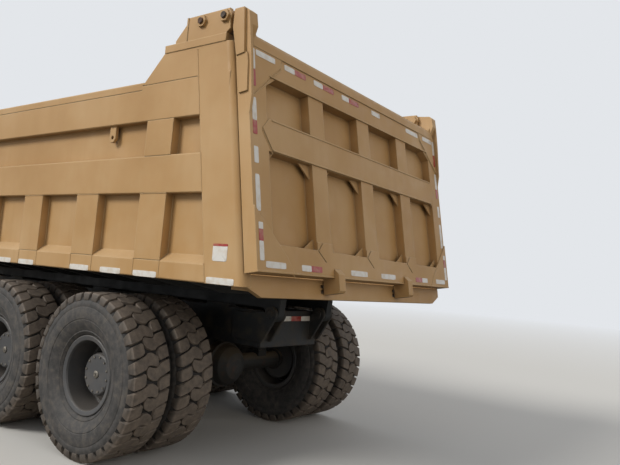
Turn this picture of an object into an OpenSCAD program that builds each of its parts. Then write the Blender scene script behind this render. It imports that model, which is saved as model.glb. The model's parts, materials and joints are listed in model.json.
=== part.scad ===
// Wide-body mining dump truck with a steered front axle and two driven rear axles.
// Forward is +X, left is +Y, up is +Z. The origin is on the ground below the middle
// of the truck. Inside the modules, X is counted from the rear axle.

/* [Axles and tyres] */
// Rear axle to middle axle
tandem = 1620; // [1590:10:1660]
// Middle axle to front axle
wheelbase = 3900; // [3850:10:3950]
// Outside diameter of a tyre
tyre_d = 1490; // [1450:2:1500]
// Widest section of a tyre
tyre_w = 430; // [410:2:440]
// Diameter on which the tyre beads sit
bead_d = 635; // [620:1:640]
// Height of the rim's edge over the bead seat
flange_h = 38; // [30:1:42]
// Centreline of the truck to the middle of a front tyre
front_tyre_y = 1550; // [1520:5:1570]
// Centreline to the middle of an outer rear tyre
outer_tyre_y = 1570; // [1550:5:1580]
// Spacing of the two tyres of a twin wheel
twin_pitch = 515; // [505:5:530]
// Diameter of the planetary hub's cover
hub_d = 370; // [340:5:400]
// Depth of the hub's cover behind the outer rim's edge
hub_recess = 115; // [90:5:130]
// Kingpin to the centreline of the truck
kingpin_y = 1260; // [1250:2:1270]

/* [Chassis] */
// Height of the top of the frame rails
rail_top = 1420; // [1400:5:1425]
// Depth of a frame rail
rail_h = 360; // [340:5:380]
// Width over both frame rails
frame_w = 900; // [880:5:910]
// Width of a rail's flange
flange_w = 100; // [96:1:104]
// Thickness of a rail's plate
rail_t = 14; // [10:1:16]
// Rear end of the frame rails behind the rear axle
frame_tail = 930; // [900:5:940]
// Front axle to the face of the front bumper
front_overhang = 1600; // [1560:10:1680]
// Width of the bumper and the deck
deck_w = 3400; // [3360:10:3440]
// Height of the deck's top
deck_z = 1640; // [1630:2:1660]

/* [Load bed] */
// Outside width of the load bed
bed_w = 3450; // [3420:5:3480]
// Height of the bed's lower edge over the ground
bed_foot = 1670; // [1660:2:1680]
// Height of the cap rail's top
bed_top = 3370; // [3340:5:3400]
// Height of the shoulder that carries the gate's hinges
shoulder_z = 3590; // [3570:5:3610]
// Rear face of the corner post at the bed's foot, behind the rear axle
post_foot = 1780; // [1755:5:1800]
// Width of the corner post
post_w = 384; // [360:2:400]
// Radius of the corner post's outer rear edge
post_r = 60; // [50:2:70]
// Forward lean of the tail, as a run over a rise
lean = 0.177; // [0.16:0.001:0.19]
// Inner face of the front wall at its foot, ahead of the rear axle
wall_foot = 4340; // [4310:5:4350]
// Forward lean of the front wall, as a run over a rise
wall_lean = 0.073; // [0.06:0.001:0.08]
// Depth of the recesses between the ribs of a side
recess = 80; // [60:5:95]
// Thickness of the bed's sheets
sheet = 22; // [16:1:26]
// Spacing of the side ribs
rib_pitch = 933; // [900:1:935]
// Width of a side rib
rib_w = 336; // [300:2:350]
// Front edge of the canopy ahead of the rear axle
canopy_reach = 6150; // [6100:10:6250]
// Height of the canopy's front edge
canopy_top = 4150; // [4120:10:4200]
// Height of the tipping hinge over the ground
tip_z = 1395; // [1385:1:1400]
// Tipping hinge behind the rear axle
tip_back = 1040; // [1035:1:1050]

/* [Tailgate] */
// Width over the tailgate
gate_w = 3395; // [3390:5:3420]
// Height of the gate's lower edge
gate_foot = 1770; // [1768:1:1780]
// Height of the gate's upper edge
gate_head = 3630; // [3610:5:3640]
// Thickness of the gate through its frame
gate_t = 115; // [110:1:124]
// Depth of the gate's windows
gate_recess = 94; // [80:2:98]
// Width of the gate's upright ribs
gate_rib_w = 220; // [180:5:240]
// Height of the gate's hinge
gate_pin_z = 3795; // [3780:1:3800]
// Gate hinge behind the rear axle
gate_pin_back = 1345; // [1340:1:1350]
// Radius of the gate's hinge pin
gate_pin_r = 35; // [28:1:40]

/* [Cab and hood] */
// Back of the cab ahead of the rear axle
cab_back = 4960; // [4950:5:4980]
// Height of the cab's roof
cab_roof = 3450; // [3420:5:3500]
// Outer side of the cab
cab_out = 1690; // [1680:2:1698]
// Inner side of the cab
cab_in = 90; // [80:2:110]
// Thickness of the cab's walls
cab_t = 50; // [40:2:56]
// Height of the hood's top
hood_z = 2250; // [2200:5:2300]
// Thickness of the hood's sheets
hood_t = 12; // [8:1:16]

/* [Hoist] */
// Hoist line ahead of the rear axle
hoist_x = 4700; // [4690:1:4705]
// Outside diameter of the hoist's cover
hoist_d = 260; // [250:2:262]
// Height of the hoist's swivel on the bed
swivel_z = 2100; // [2080:5:2120]
// Height of the hoist's foot on the frame
hoist_foot_z = 1150; // [1148:1:1155]

/* [Hidden] */
$fn = 40;
// Clearances: beside moving sheets, of a pin in its bore, of a seated pane
gap = 6;
pin_fit = 0.05;
seat_fit = 0.3;

tyre_r = tyre_d / 2;
axle_z = tyre_r;
middle_x = tandem;
front_x = tandem + wheelbase;
front_reach = front_x + front_overhang;
rail_nose = front_reach - 320;
cab_front = front_reach - 340;
bead_r = bead_d / 2;
rim_r = bead_r + flange_h;
lip_half = 150;
twin_mid = outer_tyre_y - twin_pitch / 2;
hub_face = outer_tyre_y + lip_half - hub_recess;
spindle_r = 70;
drum_y = 985;

rail_out = frame_w / 2;
rail_in = rail_out - flange_w;
rail_foot = rail_top - rail_h;
web_in = rail_out - rail_t;
rail_shelf = rail_foot + rail_t;
pad_h = 29.7;
beam_foot = rail_top + pad_h + seat_fit;

face_y = bed_w / 2;
wall_out = face_y - recess;
wall_in = wall_out - sheet;
floor_h = 70;
floor_z = bed_foot + floor_h;
floor_foot = floor_z - sheet;
ledge_h = 65;
lean_a = atan(lean);
gate_back = gap + gate_t;
sill_t = 40;
sill_foot = 1600;
sill_y = face_y - 60;
claw_out = 55;
claw_y = 640;
claw_w = 95;
claw_foot = sill_foot + 40;
deck_y = deck_w / 2;

// Height along the leaning tail of a height over the ground
function up(z) = (z - bed_foot) / cos(lean_a);
// Rear face of the posts, and inner face of the front wall, at a height
function tail_x(z) = -post_foot + lean * (z - bed_foot);
function wall_x(z) = wall_foot + wall_lean * (z - bed_foot);

// The truck reaches from the lock lugs' backs to the bumper's face
tail_reach = post_foot + (gate_back + claw_out) * cos(lean_a) - up(claw_foot + 20) * sin(lean_a);
rear_axle_x = (tail_reach - front_reach) / 2;

// Placing

module placed() translate([rear_axle_x, 0, 0]) children();
module mirrored(s) mirror([0, s < 0 ? 1 : 0, 0]) children();
module both() { children(); mirror([0, 1, 0]) children(); }

// A Y-Z outline carried along X, and an X-Z outline carried along Y
module run_x(x0, x1) translate([x0, 0, 0]) rotate([90, 0, 90]) linear_extrude(x1 - x0) children();
module run_y(y0, y1) translate([0, y1, 0]) rotate([90, 0, 0]) linear_extrude(y1 - y0) children();

// A block from corner to corner, and round bars along each axis
module block(a, b) translate(a) cube(b - a);
module bar_x(y, z, r, x0, x1) translate([x0, y, z]) rotate([0, 90, 0]) cylinder(r = r, h = x1 - x0);
module bar_y(x, z, r, y0, y1) translate([x, y0, z]) rotate([-90, 0, 0]) cylinder(r = r, h = y1 - y0);
module bar_z(x, y, r, z0, z1) translate([x, y, z0]) cylinder(r = r, h = z1 - z0);

// A round bar from point to point
module rod(p, q, r) {
    d = q - p;
    translate(p) rotate([0, acos(d[2] / norm(d)), atan2(d[1], d[0])]) cylinder(r = r, h = norm(d));
}

// A radius and width outline turned about an axle
module turned(x) translate([x, 0, axle_z]) rotate([-90, 0, 0]) rotate_extrude($fn = 64) children();

// The leaning frame of the tail: its local X is the way out of the rear face, reversed
module leaned() translate([-post_foot, 0, bed_foot]) rotate([0, lean_a, 0]) children();

// Wheels

// Half of a tyre's section from the bead to the crown: radius, half width
function tyre_half() = let (h = tyre_r - bead_r, w = tyre_w / 2) [
    [bead_r + 1, 128], [rim_r + 2, 131], [bead_r + h * 0.19, w * 0.78],
    [bead_r + h * 0.32, w * 0.92], [bead_r + h * 0.50, w], [bead_r + h * 0.66, w * 0.975],
    [bead_r + h * 0.70, w * 0.945], [bead_r + h * 0.86, w * 0.92],
    [bead_r + h * 0.965, w * 0.885], [tyre_r, w * 0.76]
];

module tyre(x, y) {
    half = tyre_half();
    n = len(half);
    translate([0, y, 0]) turned(x)
        polygon(concat(half, [for (i = [n - 1 : -1 : 0]) [half[i][0], -half[i][1]]]));
}

// A rim's barrel with the edges that hold the beads
module rim_barrel(y) translate([0, y]) {
    t = 14;
    polygon([
        [bead_r - t, 24 - lip_half], [bead_r - t, lip_half - 24], [bead_r - 6, lip_half - 8],
        [rim_r - 8, lip_half], [rim_r, lip_half - 6], [rim_r, 134], [rim_r - 10, 132.5],
        [bead_r + 0.5, 132.5], [bead_r + 0.5, -132.5], [rim_r - 10, -132.5], [rim_r, -134],
        [rim_r, 6 - lip_half], [rim_r - 8, -lip_half], [bead_r - 6, 8 - lip_half]
    ]);
}

// Twin rims, back to back on the drum of the planetary hub
module twin_rims(x, s) mirrored(s) {
    turned(x) rim_barrel(outer_tyre_y);
    turned(x) rim_barrel(outer_tyre_y - twin_pitch);
    // the two dished discs, meeting at the hub's flange
    edge = twin_pitch / 2 - lip_half + 20;
    turned(x) translate([0, twin_mid]) polygon([
        [180, -18], [245, -18], [bead_r - 32, -edge - 26], [bead_r - 8, -edge - 26],
        [bead_r - 8, -edge], [262, 0], [bead_r - 8, edge], [bead_r - 8, edge + 26],
        [bead_r - 32, edge + 26], [245, 18], [180, 18]
    ]);
    hub_r = hub_d / 2;
    turned(x) polygon([
        [spindle_r + seat_fit, drum_y], [230, drum_y], [238, drum_y + 8], [238, twin_mid - 40],
        [228, twin_mid + 34], [208, twin_mid + 52], [hub_r + 8, hub_face - 60],
        [hub_r + 8, hub_face - 30], [hub_r, hub_face - 24], [hub_r, hub_face - 10],
        [hub_r - 12, hub_face], [0, hub_face], [0, twin_mid], [spindle_r + seat_fit, twin_mid]
    ]);
}

// A front rim with its flat disc and hub
front_web = front_tyre_y + 60;
front_drum = kingpin_y + 140;
front_spindle_r = 60;
module front_rim(s) mirrored(s) {
    cap = front_tyre_y + lip_half - 30;
    turned(front_x) rim_barrel(front_tyre_y);
    turned(front_x) polygon([
        [190, front_web - 16], [230, front_web - 16], [bead_r - 8, front_web + 32],
        [bead_r - 8, front_web + 58], [bead_r - 34, front_web + 58], [222, front_web + 4],
        [190, front_web + 4]
    ]);
    turned(front_x) polygon([
        [front_spindle_r + seat_fit, front_drum], [212, front_drum], [220, front_drum + 8],
        [220, front_web - 6], [175, front_web + 10], [165, front_web + 30], [118, front_web + 40],
        [112, cap - 8], [104, cap], [0, cap], [0, front_web], [front_spindle_r + seat_fit, front_web]
    ]);
}

module twin_tyres(x, s) mirrored(s) {
    tyre(x, outer_tyre_y);
    tyre(x, outer_tyre_y - twin_pitch);
}

module tyre_front_left() color("#2b2a29") placed() tyre(front_x, front_tyre_y);
module tyre_front_right() color("#2b2a29") placed() tyre(front_x, -front_tyre_y);
module rim_front_left() color("#3c3e40") placed() front_rim(1);
module rim_front_right() color("#3c3e40") placed() front_rim(-1);
module tyres_middle_left() color("#2b2a29") placed() twin_tyres(middle_x, 1);
module tyres_middle_right() color("#2b2a29") placed() twin_tyres(middle_x, -1);
module tyres_rear_left() color("#2b2a29") placed() twin_tyres(0, 1);
module tyres_rear_right() color("#2b2a29") placed() twin_tyres(0, -1);
module rims_middle_left() color("#3c3e40") placed() twin_rims(middle_x, 1);
module rims_middle_right() color("#3c3e40") placed() twin_rims(middle_x, -1);
module rims_rear_left() color("#3c3e40") placed() twin_rims(0, 1);
module rims_rear_right() color("#3c3e40") placed() twin_rims(0, -1);

// Chassis

tip_r = 75;
tip_pin_r = 36;
tip_plate_t = 28;
trunnion_x = tandem / 2;
trunnion_z = axle_z + 30;
trunnion_r = 70;
spring_y0 = rail_out + 80;
spring_y1 = spring_y0 + 140;
front_spring = 860;
hanger_foot = rail_foot - 10;
foot_gap = 50;
rail_profile = [
    [rail_in, rail_foot], [rail_out, rail_foot], [rail_out, rail_top], [rail_in, rail_top],
    [rail_in, rail_top - rail_t], [web_in, rail_top - rail_t], [web_in, rail_shelf],
    [rail_in, rail_shelf]
];

// A plate beside the rail's end that carries the tipping pin
module tip_plate(y0, y1, root) run_y(y0, y1) {
    translate([-tip_back, tip_z]) circle(r = tip_r);
    polygon([
        [root, rail_top - 40], [root, rail_foot + 60], [-frame_tail - 30, rail_foot + 60],
        [-tip_back - tip_r * 0.9, tip_z - tip_r * 0.43], [-tip_back, tip_z + tip_r * 0.3]
    ]);
}

module chassis_frame() color("#2e3032") placed() {
    both() {
        run_x(-frame_tail, rail_nose) polygon(rail_profile);
        tip_plate(rail_out - 1, rail_out + tip_plate_t, -560);
        tip_plate(rail_in - tip_plate_t, rail_in, -frame_tail + 1);
        // the tipping pin, through both plates
        bar_y(-tip_back, tip_z, tip_pin_r, rail_in - tip_plate_t - 14, rail_out + tip_plate_t + 14);
        // pads under the bed's beams
        for (x = [-300 : 1000 : 3700])
            block([x - 160, rail_in, rail_top - 1], [x + 160, rail_out, rail_top + pad_h]);
        // trunnion bracket of the tandem springs
        run_y(web_in + 1, rail_out + 60) polygon([
            [trunnion_x - 210, rail_foot + 150], [trunnion_x + 210, rail_foot + 150],
            [trunnion_x + 120, trunnion_z - 100], [trunnion_x - 120, trunnion_z - 100]
        ]);
        // hangers of the front springs
        for (x = [front_x - front_spring, front_x + front_spring])
            run_y(web_in + 1, spring_y1) polygon([
                [x - 70, rail_foot + 130], [x + 70, rail_foot + 130], [x + 45, hanger_foot],
                [x - 45, hanger_foot]
            ]);
        // ears beside the hoist's foot
        run_y(foot_gap, foot_gap + 30) {
            translate([hoist_x, hoist_foot_z]) circle(r = 100);
            polygon([
                [hoist_x - 150, rail_foot - 30], [hoist_x + 150, rail_foot - 30],
                [hoist_x + 95, hoist_foot_z], [hoist_x - 95, hoist_foot_z]
            ]);
        }
        // the deck's posts
        for (x = [cab_back, rail_nose - 160])
            block([x, rail_in, rail_top - 1], [x + 80, rail_out, deck_z - 130]);
    }
    // trunnion stubs and the cross members
    both() bar_y(trunnion_x, trunnion_z, trunnion_r, web_in + 1, spring_y1);
    for (x = [-250, 400, tandem + 150, 2950]) bar_y(x, rail_top - 130, 65, -web_in - 1, web_in + 1);
    block([-frame_tail, -web_in - 1, rail_foot], [-frame_tail + 16, web_in + 1, rail_top]);
    block([hoist_x - 150, -rail_out, rail_foot - 40], [hoist_x + 150, rail_out, rail_foot]);
    block([rail_nose - 60, -web_in - 1, rail_foot + 40], [rail_nose, web_in + 1, rail_top - 20]);
}

module front_axle() color("#2e3032") placed() difference() {
    union() {
        run_x(front_x - 65, front_x + 65) polygon([
            [-kingpin_y + 40, axle_z + 85], [-1060, axle_z + 75], [-820, axle_z + 15], [820, axle_z + 15],
            [1060, axle_z + 75], [kingpin_y - 40, axle_z + 85], [kingpin_y - 40, axle_z - 85],
            [1080, axle_z - 75], [760, axle_z - 125], [-760, axle_z - 125], [-1080, axle_z - 75],
            [-kingpin_y + 40, axle_z - 85]
        ]);
        both() bar_z(front_x, kingpin_y, 62, axle_z - 100, axle_z + 100);
    }
    both() bar_z(front_x, kingpin_y, 34 + pin_fit, axle_z - 110, axle_z + 110);
    // the hollows of its I section
    both() for (x = [front_x - 80, front_x + 25])
        block([x, 60, axle_z - 95], [x + 55, 760, axle_z - 15]);
}

// Housing with its bowl, arms, spring pads and spindles
module drive_axle(x, nose) {
    both() {
        bar_y(x, axle_z, 95, 0, drum_y - 80);
        bar_y(x, axle_z, 125, drum_y - 80, drum_y - 60);
        bar_y(x, axle_z, 100, drum_y - 60, drum_y - gap);
        bar_y(x, axle_z, spindle_r, drum_y - gap, twin_mid - gap);
        block([x - 85, spring_y0, axle_z + 60], [x + 85, spring_y1, axle_z + 130]);
    }
    translate([x, 0, axle_z]) rotate([0, 90, 0]) rotate_extrude() polygon([
        [0, -250], [70, -245], [140, -220], [205, -150], [230, -70], [250, -60], [250, 40],
        [215, 60], [170, 180], [110, 230], [100, nose], [0, nose]
    ]);
}

module rear_axles() color("#2e3032") placed() {
    drive_axle(0, 370);
    drive_axle(middle_x, 370);
    bar_x(0, axle_z, 80, middle_x - 340, middle_x - 200);
}

// A leaf, bowed by its ends: height of its underside at the middle, half length
module leaf(mid, z, half, rise, t) {
    n = 8;
    function at(i) = let (u = i / n) [mid + half * u, z + rise * u * u];
    polygon(concat([for (i = [-n : n]) at(i)], [for (i = [n : -1 : -n]) at(i) + [0, t]]));
}

module leaf_springs() color("#3a3b3c") placed() both() run_y(spring_y0, spring_y1) {
    t = 24;
    leaves = 9;
    // tandem springs: the longest leaf lies on both axles, shorter ones above it
    pad_z = axle_z + 130 + seat_fit;
    sag = 70;
    for (i = [0 : leaves - 1]) {
        half = tandem / 2 + 70 - 88 * i;
        leaf(trunnion_x, pad_z + sag + t * i, half, -sag * pow(half / (tandem / 2 + 70), 2), t + 0.5);
    }
    // saddle on the trunnion
    difference() {
        polygon([
            [trunnion_x - 150, pad_z + sag + 2], [trunnion_x + 150, pad_z + sag + 2],
            [trunnion_x + 105, trunnion_z - 60], [trunnion_x - 105, trunnion_z - 60]
        ]);
        translate([trunnion_x, trunnion_z]) circle(r = trunnion_r + seat_fit);
    }
    // front springs: on top of the axle, hung from the frame at both ends
    foot = axle_z + 15 + seat_fit;
    top = foot + 30 + t * 6;
    reach = front_spring + 20;
    bow = hanger_foot - seat_fit - t - 0.5 - top;
    for (i = [0 : 6]) {
        half = reach - 110 * (6 - i);
        leaf(front_x, top - t * (6 - i), half, bow * pow(half / reach, 2), t + 0.5);
    }
    translate([front_x - 110, foot]) square([220, 32]);
}

// The two shafts that drive the axles: the long one slopes up to the gearbox
gearbox_back = 3700;
shaft_z = rail_foot - 120;
shaft_gap = 6.6;
module prop_shafts() color("#3a3b3c") placed() {
    shafts = [
        // from, to
        [[370 + seat_fit, 0, axle_z], [middle_x - 340 - seat_fit, 0, axle_z]],
        [[middle_x + 370 + shaft_gap, 0, axle_z], [gearbox_back - shaft_gap, 0, shaft_z]]
    ];
    for (s = shafts) {
        d = (s[1] - s[0]) / norm(s[1] - s[0]);
        rod(s[0], s[1], 52);
        rod(s[0] + d * 12, s[0] + d * 110, 78);
        rod(s[1] - d * 110, s[1] - d * 12, 78);
    }
}

engine_back = 5060;
engine_front = rail_nose - 500;
engine_half = 340;
engine_top = 1590;
engine_foot = 900;
module engine() color("#4a4d4f") placed() {
    run_y(-engine_half, engine_half) polygon([
        [engine_back, engine_foot], [engine_front - 60, engine_foot], [engine_front, engine_foot + 60],
        [engine_front, engine_top - 30], [engine_front - 40, engine_top], [engine_back + 60, engine_top],
        [engine_back, engine_top - 50]
    ]);
    // sump
    run_y(-220, 220) polygon([
        [engine_back + 150, engine_foot + 5], [engine_back + 190, engine_foot - 100],
        [front_x - 120, engine_foot - 100], [front_x - 90, engine_foot + 5]
    ]);
    // gearbox with its output flange, and the shaft between it and the engine
    box_back = gearbox_back + 60;
    box_front = box_back + 715;
    box_half = 230;
    run_y(-box_half, box_half) polygon([
        [box_back, 820], [box_front - 95, 790], [box_front, 760], [box_front, 1030],
        [box_front - 95, 1180], [box_back, 1120]
    ]);
    bar_x(0, shaft_z, 110, gearbox_back, box_back + 1);
    bar_x(0, shaft_z, 70, box_front - 5, engine_back + 1);
    // mounts on the rails' lower flanges: back edge, inner side
    mount_w = 120;
    side_y = engine_half - 2;
    for (m = [[box_back + 140, box_half - 2], [engine_back + 140, side_y], [engine_front - 150, side_y]])
        both() block([m[0], m[1], rail_shelf], [m[0] + mount_w, web_in - 20, rail_shelf + 36]);
}

module radiator() color("#26282a") placed() {
    back = engine_front + 60;
    front = back + 140;
    half = engine_half - 10;
    // a frame round the core, which stands back from its front
    difference() {
        block([back, -half, engine_foot], [front, half, engine_top]);
        block([front - 20, 40 - half, engine_foot + 60], [front + 1, half - 40, engine_top - 50]);
    }
    both() block([back + 20, half - 2, rail_shelf], [front - 20, web_in - 20, rail_shelf + 30]);
}

module exhaust() color("#5a5552") placed() {
    // upright pipe with its silencer, and the pipe that comes from the back of the engine
    x = cab_back - 80;
    y = -1250;
    pipe = 40;
    low = rail_top + pipe + 5;
    bar_z(x, y, 130, deck_z + 160, deck_z + 1060);
    bar_z(x, y, pipe + 12, low - pipe, deck_z + 1500);
    bar_y(x, low, pipe, y, -200 + pipe);
    bar_x(-200, low, pipe - 2, x, engine_back - seat_fit);
    // post on the deck with two arms that hold the silencer
    for (z = [deck_z + 320, deck_z + 860]) block([x - 10, y - 20, z], [cab_back + 60, y + 20, z + 40]);
    block([cab_back + 20, y - 40, deck_z], [cab_back + 60, y + 40, deck_z + 900]);
}

bumper_back = front_reach - 260;
bumper_end = rail_nose - 160;
bumper_y = deck_y - 210;
bumper_top = 1010;
bumper_foot = 570;
lamp_z = 830;
tow_x = front_reach - 80;
tow_y = 600;
tow_r = 28;
lamps_at = [[1430, 92], [1180, 92], [930, 62]];
module front_bumper() color("#c9a05a") placed() difference() {
    union() {
        // face with swept ends, in plan
        translate([0, 0, bumper_foot]) linear_extrude(bumper_top - bumper_foot) polygon([
            [bumper_back, -bumper_y], [bumper_end, -deck_y], [rail_nose, -deck_y], [front_reach, -bumper_y],
            [front_reach, bumper_y], [rail_nose, deck_y], [bumper_end, deck_y], [bumper_back, bumper_y]
        ]);
        // horns under the rails
        both() run_y(rail_in, rail_out) polygon([
            [rail_nose - 200, rail_foot], [rail_nose, rail_foot], [bumper_back + 2, rail_foot - 100],
            [bumper_back + 2, bumper_foot + 130], [rail_nose - 40, bumper_foot + 130]
        ]);
        // towing eyes under the bumper
        both() run_y(tow_y - 20, tow_y + 20) {
            translate([tow_x, bumper_foot - 50]) circle(r = 62);
            polygon([
                [tow_x - 150, bumper_foot + 40], [tow_x - 150, bumper_foot - 10], [tow_x - 40, bumper_foot - 98],
                [tow_x + 60, bumper_foot - 35], [tow_x + 62, bumper_foot + 100]
            ]);
        }
    }
    both() bar_y(tow_x, bumper_foot - 50, tow_r, tow_y - 40, tow_y + 40);
    // lamp pockets
    both() for (l = lamps_at) bar_x(l[0], lamp_z, l[1] + 8, front_reach - 50, front_reach + 1);
    // hollow behind the face
    block([bumper_back - 1, 20 - rail_in, bumper_foot + 60], [front_reach - 40, rail_in - 20, bumper_top - 60]);
    // slope under the face
    run_y(-deck_y - 1, deck_y + 1) polygon([
        [front_reach + 1, bumper_foot - 1], [front_reach + 1, bumper_foot + 120], [front_reach - 90, bumper_foot - 1]
    ]);
}

module lamps() color("#d9d9cf") placed() both() for (l = lamps_at) {
    bar_x(l[0], lamp_z, l[1], front_reach - 50, front_reach - 12);
    bar_x(l[0], lamp_z, l[1] + 7, front_reach - 50, front_reach - 40);
}

module grille() color("#33363a") placed() {
    z0 = rail_foot + 20;
    z1 = deck_z - 50;
    w = 820;
    difference() {
        block([rail_nose, -w, z0], [rail_nose + 60, w, z1]);
        block([rail_nose - 1, -w + 50, z0 + 50], [rail_nose + 61, -20, z1 - 50]);
        block([rail_nose - 1, 20, z0 + 50], [rail_nose + 61, w - 50, z1 - 50]);
    }
    for (z = [z0 + 90 : 60 : z1 - 80])
        run_y(-w + 49, w - 49) polygon([
            [rail_nose + 14, z + 26], [rail_nose + 20, z + 32], [rail_nose + 52, z + 6], [rail_nose + 46, z]
        ]);
}

module tanks() color("#3d4042") placed() {
    // fuel tank on the left, hydraulic tank on the right: side, back, front, outer side
    for (k = [[1, 2700, 3800, 1250, 720, 1300], [-1, 3000, 3900, 1150, 780, 1320]]) mirrored(k[0]) {
        run_x(k[1], k[2]) hull() for (y = [620, k[3] - 80], z = [k[4] + 80, k[5] - 80])
            translate([y, z]) circle(r = 80, $fn = 32);
        for (x = [k[1] + 150, k[2] - 210]) difference() {
            run_x(x, x + 60) polygon([
                [rail_out, rail_foot], [rail_out, rail_top - 40], [rail_out + 60, k[5] + 20],
                [k[3] + 12, k[5] + 20], [k[3] + 12, k[4] - 14], [560, k[4] - 14]
            ]);
            run_x(x - 1, x + 61) hull() for (y = [620, k[3] - 80], z = [k[4] + 80, k[5] - 80])
                translate([y, z]) circle(r = 79.9, $fn = 32);
        }
        bar_z(k[2] - 500, k[3] - 160, 55, k[5] - 1, k[5] + 45);
    }
    // battery box
    block([4050, -1050, 900], [4420, -rail_out, 1250]);
}

module air_tanks() color("#3d4042") placed() {
    for (y = [600, 850]) {
        bar_x(y, 1010, 105, 3970, 4480);
        for (x = [4060, 4360]) bar_x(y, 1010, 109, x, x + 40);
    }
    for (x = [4060, 4360]) block([x, rail_out, 1110], [x + 40, 860, 1140]);
}

// Steering

module knuckle() translate([front_x, kingpin_y, axle_z]) {
    // fork over the beam's end, kingpin, spindle and steering arm
    for (z = [-150, 100 + seat_fit]) {
        bar_z(0, 0, 62, z, z + 50 - seat_fit);
        block([-50, 0, z], [50, 100, z + 50 - seat_fit]);
    }
    bar_z(0, 0, 34, -150, 150);
    block([-75, 75, -150], [75, 125, 150]);
    bar_y(0, 0, front_spindle_r, 120, front_web - kingpin_y - gap);
    bar_y(0, 0, 110, 120, 132);
}

arm_back = 250;
module steering_arm() translate([front_x, kingpin_y, axle_z - 150]) linear_extrude(30) polygon([
    [0, -50], [0, 50], [-arm_back - 30, -10], [-arm_back - 30, -75], [-arm_back + 20, -75]
]);

module knuckle_left() color("#3a3b3c") placed() { knuckle(); steering_arm(); }
module knuckle_right() color("#3a3b3c") placed() mirrored(-1) { knuckle(); steering_arm(); }

module tie_rod() color("#3a3b3c") placed() {
    z = axle_z - 150 - seat_fit;
    bar_y(front_x - arm_back, z - 25, 24, -kingpin_y + 60, kingpin_y - 60);
    both() bar_z(front_x - arm_back, kingpin_y - 40, 32, z - 48, z);
}

// Load bed

hinge_x0 = 772;
bracket_front = -899;
bracket_top = gate_pin_z + 62;
ledge_t = 65;
arm_y0 = face_y - 120;
arm_y1 = face_y - 50;
cheek_in = [face_y - 165, face_y - 135];
cheek_out = [face_y - 35, face_y];
cap_end = -387;
seam_z = 3342;
rib_back = -675;
low_z = [bed_foot + 150, 2377];
mid_z = [2377, 2703];
high_z = [3010, 3300];

// A rail of the side, from the panel to the outer face, with bent edges
module side_rail(z0, z1, slope) polygon([
    [wall_in, z0], [face_y - 8, z0], [face_y, z0 + 8], [face_y, z1 - 8 - slope],
    [face_y - 8, z1 - slope], [wall_out - 1, z1], [wall_in, z1]
]);

// Bracket plates that carry the gate's pin, standing on the shoulder
module gate_bracket(y0, y1) run_y(y0, y1) {
    translate([-gate_pin_back, gate_pin_z]) circle(r = 62);
    polygon([
        [-hinge_x0, shoulder_z + ledge_t - 1], [-hinge_x0, shoulder_z + ledge_t + 25],
        [bracket_front, bracket_top - 50], [bracket_front, bracket_top],
        [-gate_pin_back - 40, bracket_top], [-gate_pin_back - 62, gate_pin_z - 107],
        [-gate_pin_back - 25, gate_pin_z - 132], [-gate_pin_back - 25, shoulder_z + ledge_t - 1]
    ]);
}

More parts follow.
